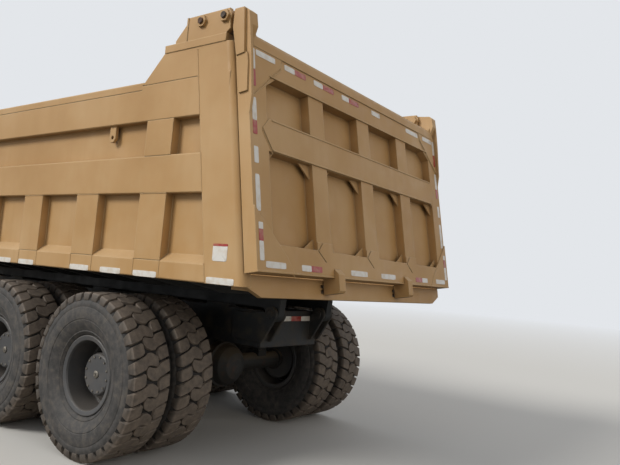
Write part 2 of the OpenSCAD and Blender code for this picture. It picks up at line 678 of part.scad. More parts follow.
module bed_side() {
    // sheet
    run_y(wall_in, wall_out) polygon([
        [tail_x(floor_foot) + 90, floor_foot], [wall_x(floor_foot), floor_foot], [wall_x(bed_top), bed_top - 1],
        [-450, bed_top - 1], [-650, shoulder_z], [tail_x(shoulder_z) + 90, shoulder_z]
    ]);
    // rails: lower one with its sloped ledge, middle, upper, cap
    run_x(tail_x(bed_foot) + 90, wall_x(bed_foot)) side_rail(bed_foot, low_z[0] + ledge_h, ledge_h);
    run_x(tail_x(mid_z[0]) + 160, wall_x(mid_z[0])) side_rail(mid_z[0], mid_z[1], 0);
    run_x(cap_end, wall_x(high_z[0])) side_rail(high_z[0], high_z[1] + 1, 0);
    run_x(tail_x(high_z[0]) + 90, cap_end + 1) side_rail(high_z[0], seam_z, 0);
    run_x(cap_end, wall_x(high_z[1])) polygon([
        [wall_in - 30, high_z[1]], [face_y, high_z[1]], [face_y, bed_top - 10], [face_y - 10, bed_top],
        [wall_in - 30, bed_top]
    ]);
    // ribs below the middle rail, and the few above it
    for (k = [0 : 5], row = [low_z, [mid_z[1], high_z[0]]])
        if (row == low_z || k == 0 || k == 4) let (x = rib_back + rib_pitch * k)
            block([x - rib_w / 2, wall_out - 1, row[0] - 1], [x + rib_w / 2, face_y, row[1] + 1]);
    // lug under the upper rail
    difference() {
        run_y(face_y - 55, face_y - 25) polygon([
            [-35, high_z[0] + 1], [-35, 2895], [-10, 2862], [30, 2862], [50, 2895], [50, high_z[0] + 1]
        ]);
        bar_y(8, 2905, 18, face_y - 60, face_y - 20);
    }
    // leaning corner post with a rounded outer edge
    intersection() {
        leaned() translate([0, 0, -300]) linear_extrude(2800) difference() {
            translate([0, wall_in]) square([post_w, face_y - wall_in]);
            translate([0, face_y - post_r]) difference() {
                translate([-1, 0]) square(post_r + 1);
                translate([post_r, 0]) circle(r = post_r);
            }
        }
        block([-2200, 0, bed_foot], [0, 2000, shoulder_z]);
    }
    // shoulder plate and the square bar on it
    run_y(wall_out - 1, face_y) polygon([
        [cap_end, seam_z - 1], [cap_end, bed_top - 8], [-412, bed_top - 8], [-645, shoulder_z],
        [-1200, shoulder_z], [-1200, seam_z - 1]
    ]);
    block([-gate_pin_back - 28, face_y - 170, shoulder_z], [-650, face_y + 6, shoulder_z + ledge_t]);
    gate_bracket(cheek_in[0], cheek_in[1]);
    gate_bracket(cheek_out[0], cheek_out[1]);
    // plate across the brackets' front ends
    block([bracket_front - 16, cheek_in[0], shoulder_z + ledge_t - 1], [bracket_front, face_y + 6, bracket_top]);
    // gate pin and the second cross bolt, with hexagon heads
    for (x = [-gate_pin_back, 261 - gate_pin_back]) {
        bar_y(x, gate_pin_z, gate_pin_r, cheek_in[0] - 4, face_y + 4);
        for (y = [cheek_in[0] - 24, face_y]) translate([x, y, gate_pin_z]) rotate([-90, 0, 0])
            cylinder(r = 52, h = 24, $fn = 6);
    }
    // front post
    run_y(wall_in, face_y) polygon([
        [wall_x(bed_foot) - 60, bed_foot], [wall_x(bed_foot) + sheet + 70, bed_foot],
        [wall_x(bed_top) + sheet + 70, bed_top], [wall_x(bed_top) - 60, bed_top]
    ]);
}

module bed_side_left() color("#c2a06c") placed() bed_side();
module bed_side_right() color("#c2a06c") placed() mirrored(-1) bed_side();

module bed_floor() color("#8a7350") placed() run_y(-wall_in, wall_in) polygon([
    [tail_x(floor_foot) + sill_t + 2, floor_foot], [wall_x(floor_foot) + sheet, floor_foot],
    [wall_x(floor_z) + sheet, floor_z], [tail_x(floor_z) + sill_t + 2, floor_z]
]);

canopy_root = 3830;
canopy_fall = 100;
function canopy_z(x) = canopy_root
    + (canopy_top - canopy_fall - canopy_root) * (x - wall_x(canopy_root)) / (canopy_reach - wall_x(canopy_root));
swivel_r = 40;
cheek_t = 34;

module bed_front() color("#c2a06c") placed() {
    foot = floor_z;
    difference() {
        union() {
            // wall
            run_y(-wall_in, wall_in) polygon([
                [wall_x(foot), foot], [wall_x(foot) + sheet, foot],
                [wall_x(canopy_root) + sheet, canopy_root], [wall_x(canopy_root), canopy_root]
            ]);
            // upright ribs and two rails ahead of the wall
            both() for (y = [260, 740, 1220]) run_y(y - 60, y + 60) polygon([
                [wall_x(foot) + sheet - 1, foot], [wall_x(foot) + sheet + 50, foot + 60],
                [wall_x(canopy_root) + sheet + 50, canopy_root - 40], [wall_x(canopy_root) + sheet - 1, canopy_root]
            ]);
            for (z = [2500, 3200]) both() run_y(200, wall_in) polygon([
                [wall_x(z) + sheet - 1, z], [wall_x(z) + sheet + 60, z + 20],
                [wall_x(z) + sheet + 60, z + 130], [wall_x(z + 150) + sheet - 1, z + 150]
            ]);
            // cheeks that carry the hoist's swivel
            both() run_y(hoist_d / 2 + 12, hoist_d / 2 + 12 + cheek_t) {
                translate([hoist_x, swivel_z]) circle(r = 70);
                polygon([
                    [wall_x(swivel_z - 220) + sheet - 1, swivel_z - 220], [hoist_x + 20, swivel_z - 67],
                    [hoist_x + 20, swivel_z + 67], [wall_x(swivel_z + 220) + sheet - 1, swivel_z + 220]
                ]);
            }
        }
        bar_y(hoist_x, swivel_z, swivel_r + pin_fit, -400, 400);
    }
    // canopy with ribs below, a lip ahead and fences at the sides
    x0 = wall_x(canopy_root);
    run_y(-face_y + 60, face_y - 60) polygon([
        [x0, canopy_root - 1], [canopy_reach, canopy_z(canopy_reach)],
        [canopy_reach, canopy_z(canopy_reach) + sheet], [x0, canopy_root + sheet]
    ]);
    for (y = [-1400 : 700 : 1400]) run_y(y - 50, y + 50) polygon([
        [x0 + sheet - 1, canopy_root - 170], [x0 + 500, canopy_z(x0 + 500) - 90],
        [canopy_reach - 60, canopy_z(canopy_reach - 60) - 50],
        [canopy_reach - 60, canopy_z(canopy_reach - 60) + 1], [x0 + sheet - 1, canopy_root + 1]
    ]);
    run_y(-face_y + 60, face_y - 60) polygon([
        [canopy_reach - sheet, canopy_z(canopy_reach) - 30], [canopy_reach, canopy_z(canopy_reach) - 30],
        [canopy_reach, canopy_top], [canopy_reach - sheet, canopy_top]
    ]);
    both() run_y(face_y - 61, face_y - 61 + sheet) polygon([
        [3400, bed_top], [wall_x(bed_top) + sheet + 60, bed_top], [wall_x(bed_top) + 130, 3690],
        [canopy_reach, canopy_z(canopy_reach) - 60], [canopy_reach, canopy_top - 20],
        [x0 - 60, canopy_root + 150], [3400, bed_top + 40]
    ]);
}

beam_y0 = rail_in + 5.5;
beam_y1 = rail_out - 5.5;
module bed_underframe() color("#8a7350") placed() {
    both() difference() {
        union() {
            run_y(beam_y0, beam_y1) {
                polygon([
                    [-1000, beam_foot], [wall_x(bed_foot) - 40, beam_foot], [wall_x(bed_foot), floor_foot],
                    [-1180, floor_foot], [-1120, beam_foot + 90]
                ]);
                translate([-tip_back, tip_z]) circle(r = tip_r);
                polygon([
                    [-tip_back - tip_r, tip_z], [-tip_back + tip_r - 2, tip_z], [-frame_tail + 10, beam_foot + 1],
                    [-frame_tail + 10, beam_foot + 60], [-1130, beam_foot + 100]
                ]);
            }
        }
        bar_y(-tip_back, tip_z, tip_pin_r + pin_fit, 300, 500);
    }
    // cross bearers
    for (x = [-1190 : 466 : 4200]) run_x(x, x + 90) polygon([
        [-wall_in, floor_foot], [wall_in, floor_foot], [wall_in, bed_foot - 10], [1250, 1590],
        [-1250, 1590], [-wall_in, bed_foot - 10]
    ]);
    // rear bearer, and the sill in the posts' plane, with a pocket behind each claw
    in = sill_t - 2;
    low = up(bed_foot);
    run_y(20 - wall_in, wall_in - 20) polygon([
        [tail_x(claw_foot) + in, claw_foot], [-1560, claw_foot], [-1560, floor_foot],
        [tail_x(floor_foot) + in, floor_foot]
    ]);
    leaned() difference() {
        run_x(0, sill_t) polygon([
            [-wall_in, up(gate_foot - 5)], [wall_in, up(gate_foot - 5)], [wall_in, low],
            [sill_y, low], [sill_y - 155, up(sill_foot)], [155 - sill_y, up(sill_foot)],
            [-sill_y, low], [-wall_in, low]
        ]);
        both() block([-1, claw_y - 80, up(1650)], [sill_t - 6, claw_y + 80, up(1725)]);
    }
    // link bars in the pockets
    leaned() both() bar_y(18, up(1692), 12, claw_y - 81, claw_y + 81);
}

// Tailgate

gate_half = gate_w / 2;
gate_low = [gate_foot + 219, gate_foot + 945];
gate_high = [gate_head - 655, gate_head - 299];
gate_ribs = [-800, 0, 800];
rib_half = gate_rib_w / 2;
stile_in = gate_half - 212;
plate = 8;
corner_plate = 13;
// Inner side of the windows' columns: right edge, left edge
gate_columns = [
    [-stile_in, gate_ribs[0] - rib_half], [gate_ribs[0] + rib_half, gate_ribs[1] - rib_half],
    [gate_ribs[1] + rib_half, gate_ribs[2] - rib_half], [gate_ribs[2] + rib_half, stile_in]
];
// Gussets in a window's corners: side, level, length, height
gussets = [[-1, 1, 150, 120], [1, 1, 94, 93], [-1, -1, 148, 96], [1, -1, 122, 126]];

// Outlines across the gate: its edge, and a pair of like outlines
module gate_outline() polygon([
    [-gate_half, up(gate_foot)], [gate_half, up(gate_foot)], [gate_half, up(gate_head) - 60],
    [gate_half - 60, up(gate_head)], [60 - gate_half, up(gate_head)], [-gate_half, up(gate_head) - 60]
]);
module pair() { children(); mirror([1, 0]) children(); }

// A sheet on the gate's rear face, standing proud of it
module gate_plate(t) run_x(-gate_back - t, 1 - gate_back) children();

// Beam plate at the foot, parted by an angled groove at each rib
module foot_plates() difference() {
    union() {
        translate([-gate_half, up(gate_foot)]) square([gate_w, up(gate_low[0]) - up(gate_foot)]);
        for (y = gate_ribs) translate([y - rib_half, up(gate_low[0]) - 1]) square([gate_rib_w, 71]);
    }
    for (y = gate_ribs) polygon([
        [y + 20, up(gate_low[0] + 90)], [y + 110, up(gate_low[0] - 5)], [y + 5, up(gate_low[0] - 93)],
        [y - 11, up(gate_low[0] - 93)], [y + 94, up(gate_low[0] - 5)], [y + 4, up(gate_low[0] + 90)]
    ]);
}

module tailgate() color("#a9855a") placed() {
    leaned() {
        run_x(gate_recess - gate_back - 1, -gap) gate_outline();
        run_x(-gate_back, gate_recess - gate_back) difference() {
            gate_outline();
            for (c = gate_columns) {
                translate([c[0], up(gate_low[0])]) square([c[1] - c[0], up(gate_low[1]) - up(gate_low[0])]);
            }
            // upper windows, the outer ones with a cut corner
            for (c = [gate_columns[1], gate_columns[2]])
                translate([c[0], up(gate_high[0])]) square([c[1] - c[0], up(gate_high[1]) - up(gate_high[0])]);
            pair() polygon([
                [gate_columns[3][0], up(gate_high[0])], [stile_in, up(gate_high[0])],
                [stile_in, up(gate_high[1] - 86)], [stile_in - 122, up(gate_high[1])],
                [gate_columns[3][0], up(gate_high[1])]
            ]);
        }
        // gussets in the lower windows
        for (c = gate_columns, g = gussets) let (
            y = g[0] < 0 ? c[0] : c[1], z = up(g[1] > 0 ? gate_low[1] : gate_low[0])
        ) run_x(40 - gate_back, 52 - gate_back) polygon([
            [y + g[0], z + g[1]], [y - g[0] * g[2], z + g[1]], [y + g[0], z - g[1] * g[3]]
        ]);
        // plates: foot, middle beam with pointed ends, corners
        gate_plate(plate) foot_plates();
        gate_plate(plate) polygon([
            [-stile_in + 10, up(gate_high[0])], [stile_in - 10, up(gate_high[0])],
            [stile_in + 68, up(gate_high[0] - 91)], [stile_in - 45, up(gate_low[1] + 4)],
            [45 - stile_in, up(gate_low[1] + 4)], [-stile_in - 68, up(gate_high[0] - 91)]
        ]);
        gate_plate(corner_plate) pair() polygon([
            [gate_half, up(gate_foot)], [gate_half, up(gate_foot + 489)], [gate_half - 76, up(gate_foot + 415)],
            [gate_half - 370, up(gate_foot + 126)], [gate_half - 458, up(gate_foot)]
        ]);
        gate_plate(plate - 2) pair() polygon([
            [gate_half - 452, up(gate_head) - 60], [gate_half - 60, up(gate_head) - 60],
            [gate_half, up(gate_head) - 100], [gate_half, up(gate_head - 532)], [gate_half - 217, up(gate_head - 347)],
            [gate_half - 313, up(gate_head - 257)], [gate_half - 407, up(gate_head - 178)],
            [gate_half - 423, up(gate_head - 118)]
        ]);
        // lips along the beams, and along the foot between the claws
        for (z = [gate_low[1] + 4, gate_high[0] - 12, gate_high[1]])
            gate_plate(corner_plate) translate([45 - stile_in, up(z)]) square([2 * stile_in - 90, 12]);
        for (y = [[-gate_half, -claw_y - 60], [60 - claw_y, claw_y - 60], [claw_y + 60, gate_half]])
            gate_plate(corner_plate + 3) translate([y[0], up(gate_foot)]) square([y[1] - y[0], 12]);
        // rail along the top with a round edge
        gate_plate(10) translate([70 - gate_half, up(gate_head) - 102]) square([gate_w - 140, 68]);
        bar_y(30 - gate_back, up(gate_head) - 34, 40, 70 - gate_half, gate_half - 70);
        // gussets beside the hinge arms
        run_x(-gate_back, 12 - gate_back) pair() polygon([
            [arm_y1, up(gate_head) - 20], [arm_y1, up(gate_head + 96)], [gate_half - 60, up(gate_head + 96)],
            [gate_half - 140, up(gate_head) - 20]
        ]);
    }
    // hinge arms: an eye and arm between the brackets, a strap down the flank, two lapped plates
    both() {
        difference() {
            run_y(arm_y0, arm_y1) {
                translate([-gate_pin_back, gate_pin_z]) circle(r = 62);
                polygon([
                    [-gate_pin_back, gate_pin_z + 62], [-gate_pin_back - 95, gate_pin_z + 50],
                    [-gate_pin_back - 191, gate_pin_z + 43], [-gate_pin_back - 226, gate_pin_z + 17],
                    [-gate_pin_back - 247, gate_pin_z - 87], [-gate_pin_back - 210, gate_head - 40],
                    [-gate_pin_back - 110, gate_head - 18], [-gate_pin_back - 60, gate_pin_z - 95],
                    [-gate_pin_back, gate_pin_z - 62]
                ]);
            }
            bar_y(-gate_pin_back, gate_pin_z, gate_pin_r + pin_fit, arm_y0 - 10, arm_y1 + 10);
        }
        run_y(arm_y1 - 1, gate_half + 1) polygon([
            [-gate_pin_back - 89, gate_pin_z + 27], [-gate_pin_back - 95, gate_pin_z + 43],
            [-gate_pin_back - 191, gate_pin_z + 43], [-gate_pin_back - 226, gate_pin_z + 17],
            [-gate_pin_back - 247, gate_pin_z - 87], [-gate_pin_back - 284, gate_pin_z - 313],
            [-gate_pin_back - 331, gate_pin_z - 679], [-gate_pin_back - 324, gate_pin_z - 810],
            [-gate_pin_back - 300, gate_pin_z - 810], [-gate_pin_back - 148, gate_pin_z - 155],
            [-gate_pin_back - 87, gate_pin_z - 104]
        ]);
        run_y(gate_half - 1, face_y - 3) polygon([
            [-gate_pin_back - 89, gate_pin_z + 27], [-gate_pin_back - 95, gate_pin_z + 43],
            [-gate_pin_back - 191, gate_pin_z + 43], [-gate_pin_back - 232, gate_pin_z - 328],
            [-gate_pin_back - 148, gate_pin_z - 341], [-gate_pin_back - 87, gate_pin_z - 104]
        ]);
        run_y(gate_half - 1, face_y - 13) polygon([
            [-gate_pin_back - 148, gate_pin_z - 342], [-gate_pin_back - 255, gate_pin_z - 325],
            [-gate_pin_back - 272, gate_pin_z - 409], [-gate_pin_back - 289, gate_pin_z - 632],
            [-gate_pin_back - 202, gate_pin_z - 644]
        ]);
    }
}

// Claws on the gate's foot plate, hooked forward under the gate
module lock_lugs() color("#a9855a") placed() leaned() both() run_y(claw_y - claw_w / 2, claw_y + claw_w / 2)
    polygon([
        [-gate_back - plate, up(gate_foot + 80)], [-gate_back - claw_out, up(gate_foot + 30)],
        [-gate_back - claw_out, up(claw_foot + 20)], [20 - gate_back - claw_out, up(claw_foot)],
        [-8, up(claw_foot)], [-8, up(gate_foot)], [-gate_back - plate, up(gate_foot)]
    ]);

// Hoist: a cover, two tubes and a rod, each sliding in the collar of the one before
// columns: outer radius, bore radius, foot, top
hoist_r = hoist_d / 2;
tubes = [
    [hoist_r, hoist_r - 12, hoist_foot_z + 180, 3400],
    [hoist_r - 15, hoist_r - 30, hoist_foot_z + 160, 3200],
    [hoist_r - 33, hoist_r - 47, hoist_foot_z + 140, 3180],
    [hoist_r - 50, 0, hoist_foot_z + 120, 3160]
];

module hoist_tube(i) {
    t = tubes[i];
    inner = tubes[i + 1];
    translate([hoist_x, 0, 0]) difference() {
        translate([0, 0, t[2]]) cylinder(r = t[0], h = t[3] - t[2]);
        translate([0, 0, t[2] + 60]) cylinder(r = t[1], h = t[3] - t[2] - 60 - (i == 0 ? 40 : -1));
        translate([0, 0, t[2] - 1]) cylinder(r = inner[0] + seat_fit, h = 70);
    }
}

module hoist_cover() color("#3a3d40") placed() {
    hoist_tube(0);
    both() bar_y(hoist_x, swivel_z, swivel_r, hoist_r - 6, hoist_r + 12 + cheek_t);
}
module hoist_stage_1() color("#8f9498") placed() hoist_tube(1);
module hoist_stage_2() color("#8f9498") placed() hoist_tube(2);
module hoist_stage_3() color("#b9bdc0") placed() {
    t = tubes[3];
    bar_z(hoist_x, 0, t[0], t[2], t[3]);
    bar_y(hoist_x, hoist_foot_z, 60, -foot_gap + 5, foot_gap - 5);
    block([hoist_x - 45, -foot_gap + 5, hoist_foot_z], [hoist_x + 45, foot_gap - 5, t[2] + 1]);
}

// Cab

cab_foot = deck_z;
screen_z = 2380;
door_back = 5560;
door_front = cab_front - 240;
door_foot = 1740;
door_head = 3330;
sill_z = 2420;
// Side outline of the cab, drawn in by a distance
module cab_outline(d) polygon([
    [cab_back + d, cab_foot + d], [cab_front - d, cab_foot + d], [cab_front - d, screen_z],
    [cab_front - 190 - d, cab_roof - 70 - d], [cab_front - 260 - d, cab_roof - d],
    [cab_back + 60 + d, cab_roof - d], [cab_back + d, cab_roof - 70 - d]
]);
module door_outline(d) polygon([
    [door_back + d, door_foot + d], [door_front - d, door_foot + d], [door_front - d, door_head - 40 - d],
    [door_front - 50 - d, door_head - d], [door_back + 40 + d, door_head - d], [door_back + d, door_head - 40 - d]
]);
module door_window(d) polygon([
    [door_back + 90 + d, sill_z + d], [door_front - 90 - d, sill_z - 60 + d], [door_front - 90 - d, door_head - 90 - d],
    [door_back + 90 + d, door_head - 90 - d]
]);
module side_window(d) polygon([
    [cab_back + 160 + d, sill_z + d], [door_back - 130 - d, sill_z + d], [door_back - 130 - d, door_head - 90 - d],
    [cab_back + 160 + d, door_head - 90 - d]
]);
// The windscreen leans with the cab's front
screen_a = atan(190 / (cab_roof - 70 - screen_z));
module on_screen() translate([cab_front, 0, screen_z]) rotate([0, -screen_a, 0]) children();
module screen_window(d) polygon([
    [cab_in + 110 + d, 50 + d], [cab_out - 110 - d, 50 + d], [cab_out - 110 - d, 890 - d], [cab_in + 110 + d, 890 - d]
]);
module rear_window(d) polygon([
    [cab_in + 300 + d, sill_z + d], [cab_out - 300 - d, sill_z + d], [cab_out - 300 - d, 3180 - d],
    [cab_in + 300 + d, 3180 - d]
]);

module cab_shell() color("#c9a05a") placed() {
    difference() {
        run_y(cab_in, cab_out) cab_outline(0);
        run_y(cab_in + cab_t, cab_out - cab_t) cab_outline(cab_t);
        run_y(cab_out - cab_t - 1, cab_out + 1) { door_outline(0); side_window(0); }
        run_y(cab_in - 1, cab_in + cab_t + 1) { door_window(0); side_window(0); }
        on_screen() run_x(-cab_t - 60, 60) screen_window(0);
        run_x(cab_back - 1, cab_back + cab_t + 1) rear_window(0);
    }
    // hinge pins of the door
    for (z = [2000, 3050]) {
        block([door_front + 14, cab_out - 1, z - 40], [door_front + 40, cab_out + 12, z + 40]);
        for (e = [-40, 24]) block([door_front - 8, cab_out + 6, z + e], [door_front + 40, cab_out + 28, z + e + 16]);
        bar_z(door_front, cab_out + 18, 7, z - 38, z + 38);
    }
    // roof gutter and sun visor
    run_y(cab_in + 40, cab_out - 40) polygon([
        [cab_front - 262, cab_roof - 6], [cab_front - 200, cab_roof - 46], [cab_front - 20, cab_roof - 90],
        [cab_front - 24, cab_roof - 102], [cab_front - 214, cab_roof - 68]
    ]);
}

module cab_glass() color("#7d8b90") placed() {
    run_y(cab_out - 30, cab_out - 22) side_window(seat_fit);
    run_y(cab_in + 22, cab_in + 30) { door_window(seat_fit); side_window(seat_fit); }
    on_screen() run_x(-32, -22) screen_window(seat_fit);
    run_x(cab_back + 22, cab_back + 30) rear_window(seat_fit);
}

module cab_interior() color("#2c2d2f") placed() {
    floor_top = cab_foot + cab_t;
    // dash, column and wheel
    run_y(cab_in + cab_t, cab_out - cab_t) polygon([
        [cab_front - cab_t, floor_top], [cab_front - cab_t, screen_z - 10], [cab_front - 200, screen_z + 20],
        [cab_front - 420, screen_z - 70], [cab_front - 400, screen_z - 300], [cab_front - 260, floor_top]
    ]);
    rod([cab_front - 400, 1180, screen_z - 170], [cab_front - 620, 1180, screen_z + 70], 32);
    translate([cab_front - 625, 1180, screen_z + 75]) rotate([0, -42, 0]) {
        rotate_extrude() translate([230, 0]) circle(r = 18, $fn = 20);
        for (a = [0, 120, 240]) rotate([0, 0, a]) translate([0, -18, -8]) cube([228, 36, 16]);
        cylinder(r = 60, h = 24, center = true);
    }
    // pedestals of the two seats
    for (y = seat_ys) block([5620, y - 190, floor_top], [5980, y + 190, seat_foot - seat_fit]);
}

seat_ys = [620, 1180];
seat_foot = cab_foot + cab_t + 330;
module seats() color("#2c2d2f") placed() for (y = seat_ys) {
    // cushion and back, and the headrest on its post
    run_y(y - 250, y + 250) polygon([
        [5540, seat_foot], [6060, seat_foot], [6080, seat_foot + 70], [6060, seat_foot + 120],
        [5640, seat_foot + 110], [5520, seat_foot + 750], [5460, seat_foot + 760], [5410, seat_foot + 730]
    ]);
    run_y(y - 140, y + 140) polygon([
        [5405, seat_foot + 770], [5500, seat_foot + 755], [5480, seat_foot + 960], [5400, seat_foot + 950]
    ]);
    bar_z(5450, y, 16, seat_foot + 720, seat_foot + 820);
}

module door() color("#c9a05a") placed() {
    difference() {
        run_y(cab_out - cab_t, cab_out) door_outline(gap);
        run_y(cab_out - cab_t - 1, cab_out + 1) door_window(0);
    }
    // hinge barrels and the handle
    for (z = [2000, 3050]) difference() {
        union() {
            bar_z(door_front, cab_out + 18, 13, z - 22, z + 22);
            block([door_front - 90, cab_out - 1, z - 22], [door_front - 4, cab_out + 12, z + 22]);
            block([door_front - 24, cab_out + 7, z - 22], [door_front - 4, cab_out + 18, z + 22]);
        }
        bar_z(door_front, cab_out + 18, 7 + pin_fit, z - 30, z + 30);
    }
    bar_x(cab_out + 26, sill_z - 130, 9, door_back + 70, door_back + 230);
    for (x = [door_back + 75, door_back + 215])
        block([x, cab_out - 1, sill_z - 138], [x + 14, cab_out + 26, sill_z - 122]);
}

module door_glass() color("#7d8b90") placed() run_y(cab_out - 30, cab_out - 22) door_window(seat_fit);

// Deck and hood

hood_back = 5346;
hood_front = cab_front - 20;
hood_y0 = -980;
hood_y1 = 56;
deck_t = 40;
mirror_y = 1840;

module deck() color("#3a3c3e") placed() {
    foot = deck_z - deck_t;
    difference() {
        block([cab_back, -deck_y, foot], [rail_nose, deck_y, deck_z]);
        block([hood_back + 60, hood_y0 + 90, foot - 1], [hood_front - 90, hood_y1 - 90, deck_z + 1]);
    }
    // bearers across the rails' posts
    for (x = [cab_back, rail_nose - 160])
        block([x, -deck_y, foot - 90], [x + 80, deck_y, foot + 1]);
    // cowl that carries the hood
    block([hood_back - 216, hood_y0, deck_z - 1], [hood_back - gap, hood_y1, hood_z]);
    for (y = [hood_y0 + 150, hood_y1 - 250]) {
        // ears of the hood's hinge with their pin
        for (e = [0, 80]) run_y(y + e, y + e + 20) {
            translate([hood_back, hood_z + 20]) circle(r = 16);
            polygon([
                [hood_back - 60, hood_z - 1], [hood_back - 60, hood_z + 30], [hood_back, hood_z + 34],
                [hood_back - 2, hood_z + 6], [hood_back - 10, hood_z - 1]
            ]);
        }
        bar_y(hood_back, hood_z + 20, 6, y, y + 100);
    }
    // ladder at the left front corner, behind the bumper's end
    ladder = [rail_nose - 430, rail_nose - 190];
    for (x = ladder, y = [deck_y - 190, deck_y - 25]) block([x, y, 500], [x + 25, y + 25, foot + 1]);
    for (z = [520 : 270 : 1400]) block([ladder[0] + 1, deck_y - 190, z], [ladder[1] + 24, deck_y, z + 30]);
}

module hood() color("#c9a05a") placed() difference() {
    union() {
        run_y(hood_y0, hood_y1) polygon([
            [hood_back, deck_z + gap], [hood_front, deck_z + gap], [hood_front, hood_z - 160],
            [hood_front - 70, hood_z - 60], [hood_front - 260, hood_z], [hood_back, hood_z]
        ]);
        // hinge barrels
        for (y = [hood_y0 + 150, hood_y1 - 250]) {
            bar_y(hood_back, hood_z + 20, 12, y + 26, y + 74);
            block([hood_back, y + 26, hood_z - 1], [hood_back + 70, y + 74, hood_z + 14]);
        }
    }
    run_y(hood_y0 + hood_t, hood_y1 - hood_t) polygon([
        [hood_back - 1, deck_z], [hood_front - hood_t, deck_z], [hood_front - hood_t, hood_z - 164],
        [hood_front - 76, hood_z - 70], [hood_front - 262, hood_z - hood_t], [hood_back - 1, hood_z - hood_t]
    ]);
    for (y = [hood_y0 + 150, hood_y1 - 250])
        bar_y(hood_back, hood_z + 20, 6 + pin_fit, y - 10, y + 110);
    // louvres in the right side
    for (x = [5560 : 120 : 6400]) block([x, hood_y0 - 1, 1850], [x + 50, hood_y0 + hood_t + 1, 2090]);
}

module handrails() color("#c9a05a") placed() {
    // posts stand a little wider than the bars that run through them
    post = 22;
    bar = 18;
    top = deck_z + 1000;
    y = -deck_y + 60;
    ends = [cab_back + 60, rail_nose - 70];
    for (x = [ends[0] : 570 : ends[1]]) bar_z(x, y, post, deck_z, top + bar + 4);
    bar_z(ends[1], -1040, post, deck_z, top + bar + 4);
    for (z = [deck_z + 500, top]) {
        bar_x(y, z, bar, ends[0], ends[1]);
        bar_y(ends[1], z, bar, y, -1040);
    }
}

module air_cleaner() color("#33363a") placed() {
    x = 5230;
    y = -1400;
    bar_z(x, y, 190, deck_z + 60, deck_z + 760);
    bar_z(x, y, 205, deck_z + 180, deck_z + 210);
    bar_z(x, y, 205, deck_z + 600, deck_z + 630);
    bar_z(x, y, 70, deck_z + 759, deck_z + 900);
    bar_z(x, y, 130, deck_z + 900, deck_z + 1010);
    for (e = [-120, 80]) block([x + e, y - 120, deck_z], [x + e + 40, y + 120, deck_z + 80]);
    bar_y(x, deck_z + 300, 75, y, hood_y0);
}

module mirrors() color("#2c2d2f") placed() {
    x = cab_front - 110;
    z = 2350;
    // side, post's Y, post's foot, where its arms begin: on the cab, on the deck
    for (m = [[1, cab_out + 30, z + 20, cab_out], [-1, deck_y - 20, deck_z, deck_y - 20]]) mirrored(m[0]) {
        block([x - 20, mirror_y - 110, z], [x + 25, mirror_y, z + 520]);
        for (e = [60, 440]) bar_y(x, z + e, 12, m[3], mirror_y - 108);
        bar_z(x, m[1], 16, m[2], z + 480);
    }
}

chassis_frame();
front_axle();
rear_axles();
leaf_springs();
prop_shafts();
engine();
radiator();
exhaust();
front_bumper();
grille();
lamps();
cab_shell();
cab_glass();
cab_interior();
seats();
deck();
handrails();
air_cleaner();
tanks();
air_tanks();
mirrors();
knuckle_left();
knuckle_right();
tie_rod();
tyre_front_left();
tyre_front_right();
rim_front_left();
rim_front_right();
tyres_middle_left();
tyres_middle_right();
rims_middle_left();
rims_middle_right();
tyres_rear_left();
tyres_rear_right();
rims_rear_left();
rims_rear_right();
bed_floor();
bed_side_left();
bed_side_right();
bed_front();
bed_underframe();
tailgate();
lock_lugs();
hoist_cover();
hoist_stage_1();
hoist_stage_2();
hoist_stage_3();
door();
door_glass();
hood();
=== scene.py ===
"""Finishes the wide-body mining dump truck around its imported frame: block treads on the
tyres, bolts, reflective strips, weld beads, glass and seats, a procedural material on
every part, and a plain studio stage."""

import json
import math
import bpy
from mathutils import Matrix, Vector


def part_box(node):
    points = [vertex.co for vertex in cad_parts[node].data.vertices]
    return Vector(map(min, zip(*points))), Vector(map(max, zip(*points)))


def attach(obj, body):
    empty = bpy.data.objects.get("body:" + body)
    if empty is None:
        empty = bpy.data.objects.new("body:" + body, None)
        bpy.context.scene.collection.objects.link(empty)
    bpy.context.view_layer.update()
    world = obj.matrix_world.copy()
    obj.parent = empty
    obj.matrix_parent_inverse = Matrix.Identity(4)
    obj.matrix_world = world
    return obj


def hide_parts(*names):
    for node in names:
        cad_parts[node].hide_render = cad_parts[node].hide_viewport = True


bl_info = {
    "name": "Mining Dump Truck Finish",
    "version": (1, 0, 0),
    "blender": (4, 5, 0),
    "location": "View3D > Sidebar > Dump Truck",
    "description": "Builds the treads, trims and finishes of a mining dump truck",
    "category": "Object",
}

import bmesh
import bpy
import numpy as np
from mathutils import Matrix, Vector

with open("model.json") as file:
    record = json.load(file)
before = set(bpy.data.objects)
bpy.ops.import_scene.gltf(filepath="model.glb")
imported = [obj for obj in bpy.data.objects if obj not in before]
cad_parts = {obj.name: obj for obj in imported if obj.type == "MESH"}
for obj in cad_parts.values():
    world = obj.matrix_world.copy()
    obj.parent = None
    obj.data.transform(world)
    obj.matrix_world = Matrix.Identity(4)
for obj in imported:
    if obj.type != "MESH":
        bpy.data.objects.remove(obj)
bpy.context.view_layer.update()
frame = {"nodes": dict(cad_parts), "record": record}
NODES = frame["nodes"]

